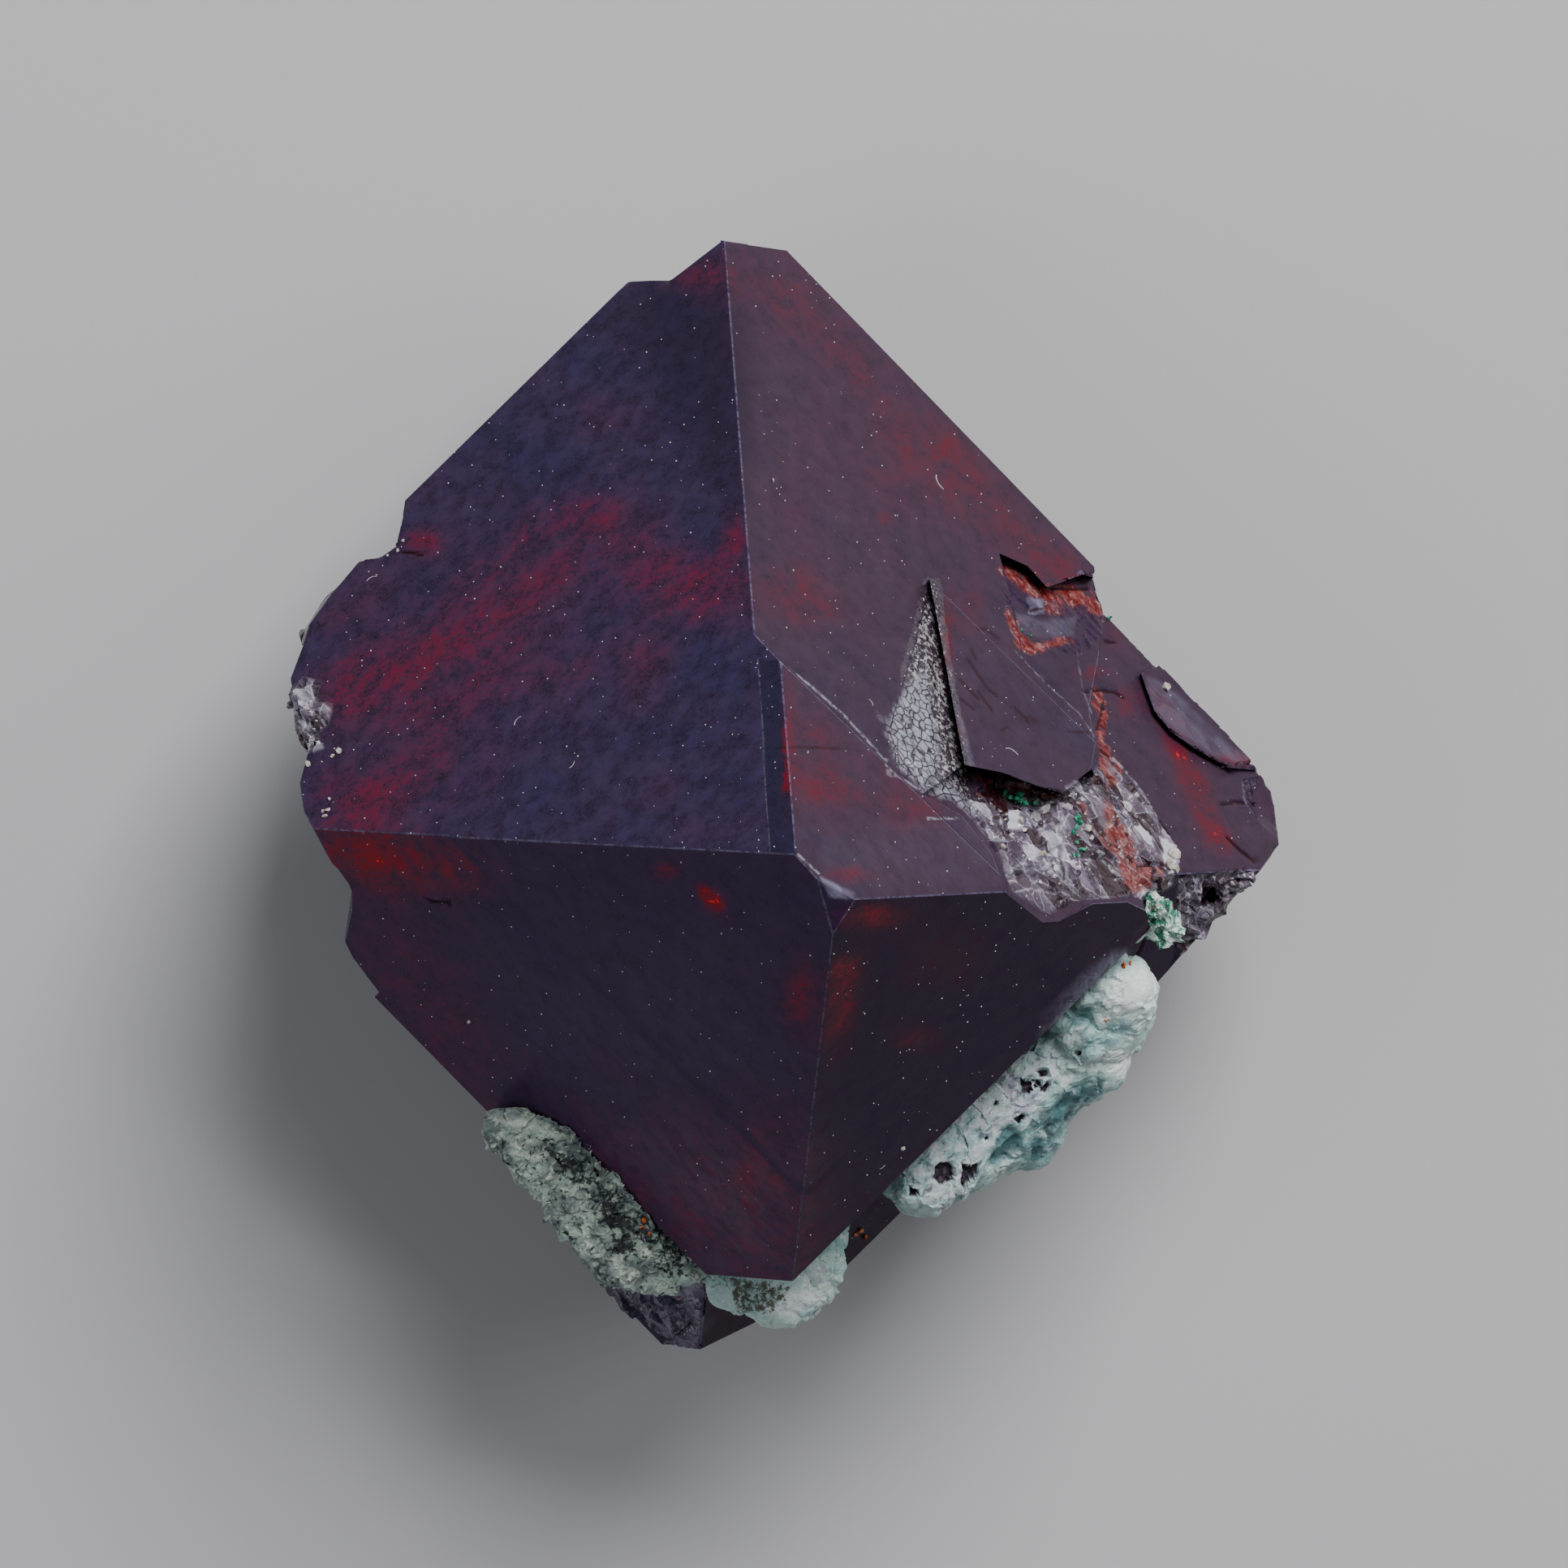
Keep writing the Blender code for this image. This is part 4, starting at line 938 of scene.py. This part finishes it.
def remeshed(source, pitch):
    """A CAD node as an even skin of small faces, in millimetres: the points, normals and mesh."""
    work = mesh_in_mm(source)
    mesh = bpy.data.meshes.new("skin")
    work.to_mesh(mesh)
    work.free()
    holder = to_object("skin", mesh)
    skin = holder.modifiers.new("even skin", "REMESH")
    skin.mode, skin.voxel_size = "VOXEL", pitch
    made = applied(holder)
    bpy.data.objects.remove(holder)
    bpy.data.meshes.remove(mesh)
    return read(made.vertices, "co", 3), read(made.vertex_normals, "vector", 3), made


def finished(mesh, points_mm, name, material, marks):
    """The piece for a worked mesh: its points in metres, its marks, its finish."""
    mesh.vertices.foreach_set("co", (points_mm * MM).ravel())
    mesh.update()
    for label, values in marks.items():
        mark(mesh, label, values)
    mesh.materials.clear()
    mesh.materials.append(material)
    mesh.name = name
    return to_object(name, mesh)


def flattened(points_mm, normals, px, where, share):
    """Brings the upper side nearer to one plane where the crust broke flat."""
    level = points_mm @ np.array(TOWARD)
    weight = smooth(normals @ np.array(TOWARD), 0.05, 0.5) * where
    across = np.column_stack([np.ones(len(px)), px])
    chosen = weight > 0.5
    plane = across @ np.linalg.lstsq(across[chosen], level[chosen], rcond=None)[0]
    return points_mm + np.outer((plane - level) * weight * share, np.array(TOWARD))


def pulled_in(points_mm, start, way, share):
    """Draws back what lies beyond a pixel that way by a share, where lumps would go too far."""
    beyond = np.clip((photo_px(points_mm) - start) @ np.array(way), 0, None) * PX_MM
    back = np.array(RIGHT) * way[0] - np.array(UP) * way[1]
    return points_mm - np.outer(share * beyond, back)


def within_box(points_mm, node_name, spare=0.25):
    """Points held to a CAD node's own box, so that a piece does not outgrow it."""
    low, high = (np.array(corner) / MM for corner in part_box(node_name))
    return np.clip(points_mm, low - spare, high + spare)


for node_name, made_as in CRUSTS.items():
    rng = np.random.default_rng(made_as["seed"])
    points, normals, mesh = remeshed(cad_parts[node_name], made_as["pitch"])
    everywhere = np.ones(len(points))
    for start, way, share in made_as["drawn_in"]:
        points = pulled_in(points, start, way, share)
    px = photo_px(points)
    layer = smooth(in_outline(px, UPPER_LAYER), -2, 3)
    broke_flat = layer if made_as["layer_only"] else everywhere
    points = flattened(points, normals, px, broke_flat, made_as["flat"])
    lumps = lumpy_relief(points, everywhere, *made_as["lumps"]) * LUMP_SHARE
    height = made_as["grow"] + lumps * (1 - layer) + LAYER_RISE * layer
    height += broken_relief(points, everywhere, SCALE_SIZE, SCALE_STEP * made_as["jagged"],
                            SCALE_TILT * made_as["jagged"])
    points = points + normals * height[:, None]
    pearls = lumpy_relief(points, everywhere, *made_as["pearls"])
    fine = pearls * (PEARL_SHARE - PEARLS_LOST * layer)
    px = photo_px(points)
    upper_side = smooth(normals @ np.array(TOWARD), -0.2, 0.15)
    marks = {label: sum(glow(px, *spot) for spot in spots) * upper_side for label, spots in (
        ("white", PALE_LOBES_AND_HIGHLIGHTS), ("teal_hollow_and_shade", TEAL_HOLLOW_SHADES), ("lilac", LILAC_PATCHES),
        ("dark", DARK_PATCHES))}
    marks["layer"] = layer * upper_side
    wander = rng.normal(0, 1.0, len(points))
    marks["hole"] = upper_side * np.max(
        [smooth(in_outline(px, hole) + wander, -1.5, 1.5) for hole in DARK_HOLES], axis=0)
    fine -= HOLE_DEPTH * marks["hole"] + HOLLOW_DEPTH * np.clip(marks["teal_hollow_and_shade"], 0, 1)
    points = within_box(points + normals * fine[:, None], node_name)
    crust = finished(mesh, points, node_name + "_detailed", finishes[made_as["finish"]], marks)
    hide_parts(node_name)
    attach(crust, "root")

# The malachite patch where the large crystal meets the side one: silky green fibres and flakes of
# copper carbonate, with whitish scales between them.
PATCH_PITCH, PATCH_SPARE, PATCH_SINK = 0.06, 0.5, 0.05
PATCH_PLACE = ((RIGHT, 0.88, -0.42), (UP, 0.76, 0.30), (TOWARD, 1.0, 0.12))
rng = np.random.default_rng(31)
malachite, tree, surface = new_finish("malachite")
blades = cloud(tree, in_mm(tree, (6.0, 1.6, 3.0), (0.3, 0.5, 0.9)), 1.2, 5, 0.6)
flakes = cloud(tree, in_mm(tree, (1.0, 1.9, 1.0), (0, 0, 0.25)), 3.4, 6, 0.68, 0.8)
rust = cloud(tree, in_mm(tree), 1.6, 4, 0.6)
body = over(tree, (0.006, 0.060, 0.040, 1), (0.018, 0.25, 0.155, 1), blades, 0.35, 0.65)
body = over(tree, body, (0.56, 0.66, 0.62, 1), flakes, 0.46, 0.53)
body = over(tree, body, (0.030, 0.012, 0.022, 1), flakes, 0.37, 0.42, 0.94, 0.0)
body = over(tree, body, (0.24, 0.035, 0.022, 1), rust, 0.62, 0.68, 0.0, 0.8)
fill(tree, surface, {"Base Color": body, "Roughness": 0.42,
                     "Normal": bump(tree, blades, 0.05, 0.7)})
points, normals, mesh = remeshed(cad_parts["malachite_patch"], PATCH_PITCH)
middle = points.mean(axis=0)
for axis, size, shift in PATCH_PLACE:
    along = (points - middle) @ np.array(axis)
    points = points + np.outer(along * (size - 1) + shift, np.array(axis))
whole = np.ones(len(points))
height = broken_relief(points, whole, 0.80, 0.16, 0.35, pitch=PATCH_PITCH) - PATCH_SINK
height += broken_relief(points, whole, 0.30, 0.08, 0.45, pitch=PATCH_PITCH)
points = within_box(points + normals * height[:, None], "malachite_patch", PATCH_SPARE)
patch = finished(mesh, points, "malachite_patch_detailed", malachite, {})
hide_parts("malachite_patch")
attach(patch, "root")

# White grains on the broken left edge, at the notch and in the fracture, and small orange ones in
# the left crust: loose crystals of later minerals, each a small angular block grown to its place.

# Each grain: its pixel of the picture and its size in mm.
GRAINS = {
    "white_grains": [(438, 691, 0.15), (418, 925, 0.17), (410, 931, 0.09), (380, 941, 0.13),
                     (406, 984, 0.13), (404, 997, 0.14), (401, 1006, 0.12), (398, 1000, 0.09),
                     (497, 666, 0.10), (490, 678, 0.10), (486, 670, 0.07), (478, 684, 0.06),
                     (376, 868, 0.08), (390, 888, 0.07), (372, 986, 0.06), (384, 912, 0.07),
                     (1446, 1054, 0.30), (1441, 1066, 0.24), (1448, 1070, 0.20), (1436, 848, 0.24),
                     (1340, 1020, 0.18), (1345, 1032, 0.13), (1258, 1012, 0.20), (1262, 1022, 0.14),
                     (1222, 1015, 0.16), (1300, 1022, 0.18), (1236, 1042, 0.12), (1286, 1052, 0.14),
                     (1112, 1414, 0.11), (578, 1258, 0.10), (1246, 1086, 0.12), (858, 1572, 0.16),
                     (868, 1578, 0.12), (1297, 1064, 0.12), (1338, 1064, 0.13), (952, 592, 0.09)],
    "orange_grains": [(795, 1503, 0.20), (790, 1512, 0.14), (800, 1520, 0.11), (1060, 1515, 0.18),
                      (1054, 1520, 0.13), (1066, 1524, 0.14), (1384, 1190, 0.16),
                      (1392, 1187, 0.12), (836, 1598, 0.10), (1510, 1128, 0.12),
                      (1363, 1256, 0.08)],
    "malachite_grains": [(1250, 984, 0.30), (1242, 982, 0.24), (1262, 987, 0.20), (1273, 988, 0.14),
                         (1325, 1012, 0.22), (1322, 1024, 0.24), (1330, 1034, 0.18),
                         (1333, 1048, 0.22), (1327, 1054, 0.18), (1362, 754, 0.18),
                         (1366, 762, 0.13), (1258, 776, 0.09), (1268, 782, 0.07)],
}
GRAIN_POINTS, GRAIN_RISE = 16, 0.15
TUFT, TUFT_SHARE, TUFT_SPREAD = 3, 0.62, 0.4


def plain_finish(name, dark, light, rough, scale):
    """A mineral finish of two shades with fine relief."""
    made, tree, surface = new_finish(name)
    clouds = cloud(tree, in_mm(tree), scale, 5, 0.6)
    fill(tree, surface, {"Base Color": bands(tree, clouds, ((0.35, dark), (0.65, light))),
                         "Roughness": ramp(tree, clouds, 0.3, 0.7, rough, rough + 0.2),
                         "Normal": bump(tree, clouds, 0.02, 0.6)})
    return made


grain_finishes = {
    "white_grains": plain_finish(
        "white_crystal", (0.34, 0.28, 0.24), (0.64, 0.62, 0.60), 0.28, 5.0),
    "orange_grains": plain_finish(
        "orange_crystal", (0.24, 0.03, 0.01), (0.70, 0.18, 0.04), 0.25, 5.0),
    "malachite_grains": plain_finish(
        "malachite_fibre", (0.004, 0.10, 0.055), (0.03, 0.42, 0.25), 0.35, 6.0)}
rng = np.random.default_rng(41)
everything = bmesh.new()
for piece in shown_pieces():
    everything.from_mesh(piece.data)
bmesh.ops.scale(everything, vec=(1 / MM,) * 3, verts=everything.verts)
carrier = BVHTree.FromBMesh(everything)
everything.free()
for name, places in GRAINS.items():
    heap = bmesh.new()
    tufted = name == "malachite_grains"
    for u, v, size in places:
        place, normal = seen_at(carrier, u, v)
        if place is None:
            continue
        for _ in range(TUFT if tufted else 1):
            corners = rng.normal(size=(GRAIN_POINTS, 3))
            corners /= np.linalg.norm(corners, axis=1)[:, None]
            corners *= size * rng.uniform(0.45, 1.0, 3) * (TUFT_SHARE if tufted else 1.0)
            middle = place + normal * size * GRAIN_RISE
            if tufted:
                middle += Vector(rng.normal(0, size * TUFT_SPREAD, 3))
            hull = bmesh.ops.convex_hull(
                heap, input=[heap.verts.new(middle + Vector(c)) for c in corners])
            spare = [g for g in hull["geom_interior"] + hull["geom_unused"]
                     if isinstance(g, bmesh.types.BMVert)]
            bmesh.ops.delete(heap, geom=list(set(spare)), context="VERTS")
    bmesh.ops.recalc_face_normals(heap, faces=heap.faces)
    mesh = to_mesh(heap, name)
    mesh.materials.append(grain_finishes[name])
    grains = to_object(name, mesh)
    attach(grains, "root")

# Dust and lint on the upward faces, as on any crystal kept in the open: pale specks well under a
# tenth of a millimetre, and a few short bent fibres. Both lie on the cuprite.
SPECKS_PER_M2, SPECK_RADIUS = 1.0e6, 0.0135 * MM
FIBRES_PER_M2, FIBRE_LENGTH, FIBRE_RADIUS, FIBRE_BEND = 0.9e4, 0.30 * MM, 0.008 * MM, 1.6
SMALLEST, LARGEST = 0.5, 2.1
LOOKS_UP = 0.3


def scatter(name, make_one, seed, density, finish, flat_to_face):
    """Scatters a small shape over the faces that look up, as one plain mesh."""
    group = bpy.data.node_groups.new(name, "GeometryNodeTree")
    socket = group.interface.new_socket
    socket("Geometry", in_out="INPUT", socket_type="NodeSocketGeometry")
    for label, value in (("Density", density), ("Smallest", SMALLEST), ("Largest", LARGEST)):
        socket(label, in_out="INPUT", socket_type="NodeSocketFloat").default_value = value
    socket("Geometry", in_out="OUTPUT", socket_type="NodeSocketGeometry")
    entry = node(group, "NodeGroupInput").outputs
    facing = node(group, "SeparateXYZ", {0: node(group, "GeometryNodeInputNormal").outputs[0]})
    above = node(group, "FunctionNodeCompare", {0: facing.outputs["Z"], 1: LOOKS_UP},
                 data_type="FLOAT", operation="GREATER_THAN")
    points = node(group, "GeometryNodeDistributePointsOnFaces", {
        "Seed": seed, "Mesh": entry["Geometry"], "Selection": above.outputs[0],
        "Density": entry["Density"]}).outputs
    size = node(group, "FunctionNodeRandomValue", {
        2: entry["Smallest"], 3: entry["Largest"], "Seed": seed + 1}, data_type="FLOAT")
    tilt = 0.0 if flat_to_face else math.tau
    turn = node(group, "FunctionNodeRandomValue", {1: (tilt, tilt, math.tau), "Seed": seed + 2},
                data_type="FLOAT_VECTOR")
    spin = node(group, "FunctionNodeRotateRotation", {
        "Rotation": points["Rotation"], "Rotate By": turn.outputs[0]}, rotation_space="LOCAL")
    place = node(group, "GeometryNodeInstanceOnPoints", {
        "Points": points["Points"], "Instance": make_one(group), "Rotation": spin.outputs[0],
        "Scale": size.outputs[1]})
    real = node(group, "GeometryNodeRealizeInstances", {0: place.outputs["Instances"]})
    paint = node(group, "GeometryNodeSetMaterial", {
        "Geometry": real.outputs[0], "Material": finish})
    node(group, "NodeGroupOutput", {0: paint.outputs[0]})
    holder = to_object(name, cuprite_mesh)
    holder.modifiers.new("scatter", "NODES").node_group = group
    made = applied(holder)
    holder.modifiers.clear()
    holder.data = made
    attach(holder, "root")


def one_speck(group):
    """A rough grain of dust."""
    return node(group, "GeometryNodeMeshIcoSphere", {"Radius": SPECK_RADIUS}).outputs["Mesh"]


def one_fibre(group):
    """A short bent fibre, lying flat."""
    arc = node(group, "GeometryNodeCurveArc", {
        "Resolution": 7, "Radius": FIBRE_LENGTH / FIBRE_BEND, "Sweep Angle": FIBRE_BEND})
    ring = node(group, "GeometryNodeCurvePrimitiveCircle", {
        "Resolution": 4, "Radius": FIBRE_RADIUS})
    return node(group, "GeometryNodeCurveToMesh", {
        "Curve": arc.outputs["Curve"], "Profile Curve": ring.outputs["Curve"],
        "Fill Caps": True}).outputs["Mesh"]


dust_finish = plain_finish("dust", (0.38, 0.37, 0.42), (0.80, 0.80, 0.84), 0.6, 8.0)
scatter("dust_specks", one_speck, 51, SPECKS_PER_M2, dust_finish, False)
scatter("dust_fibres", one_fibre, 61, FIBRES_PER_M2, dust_finish, True)
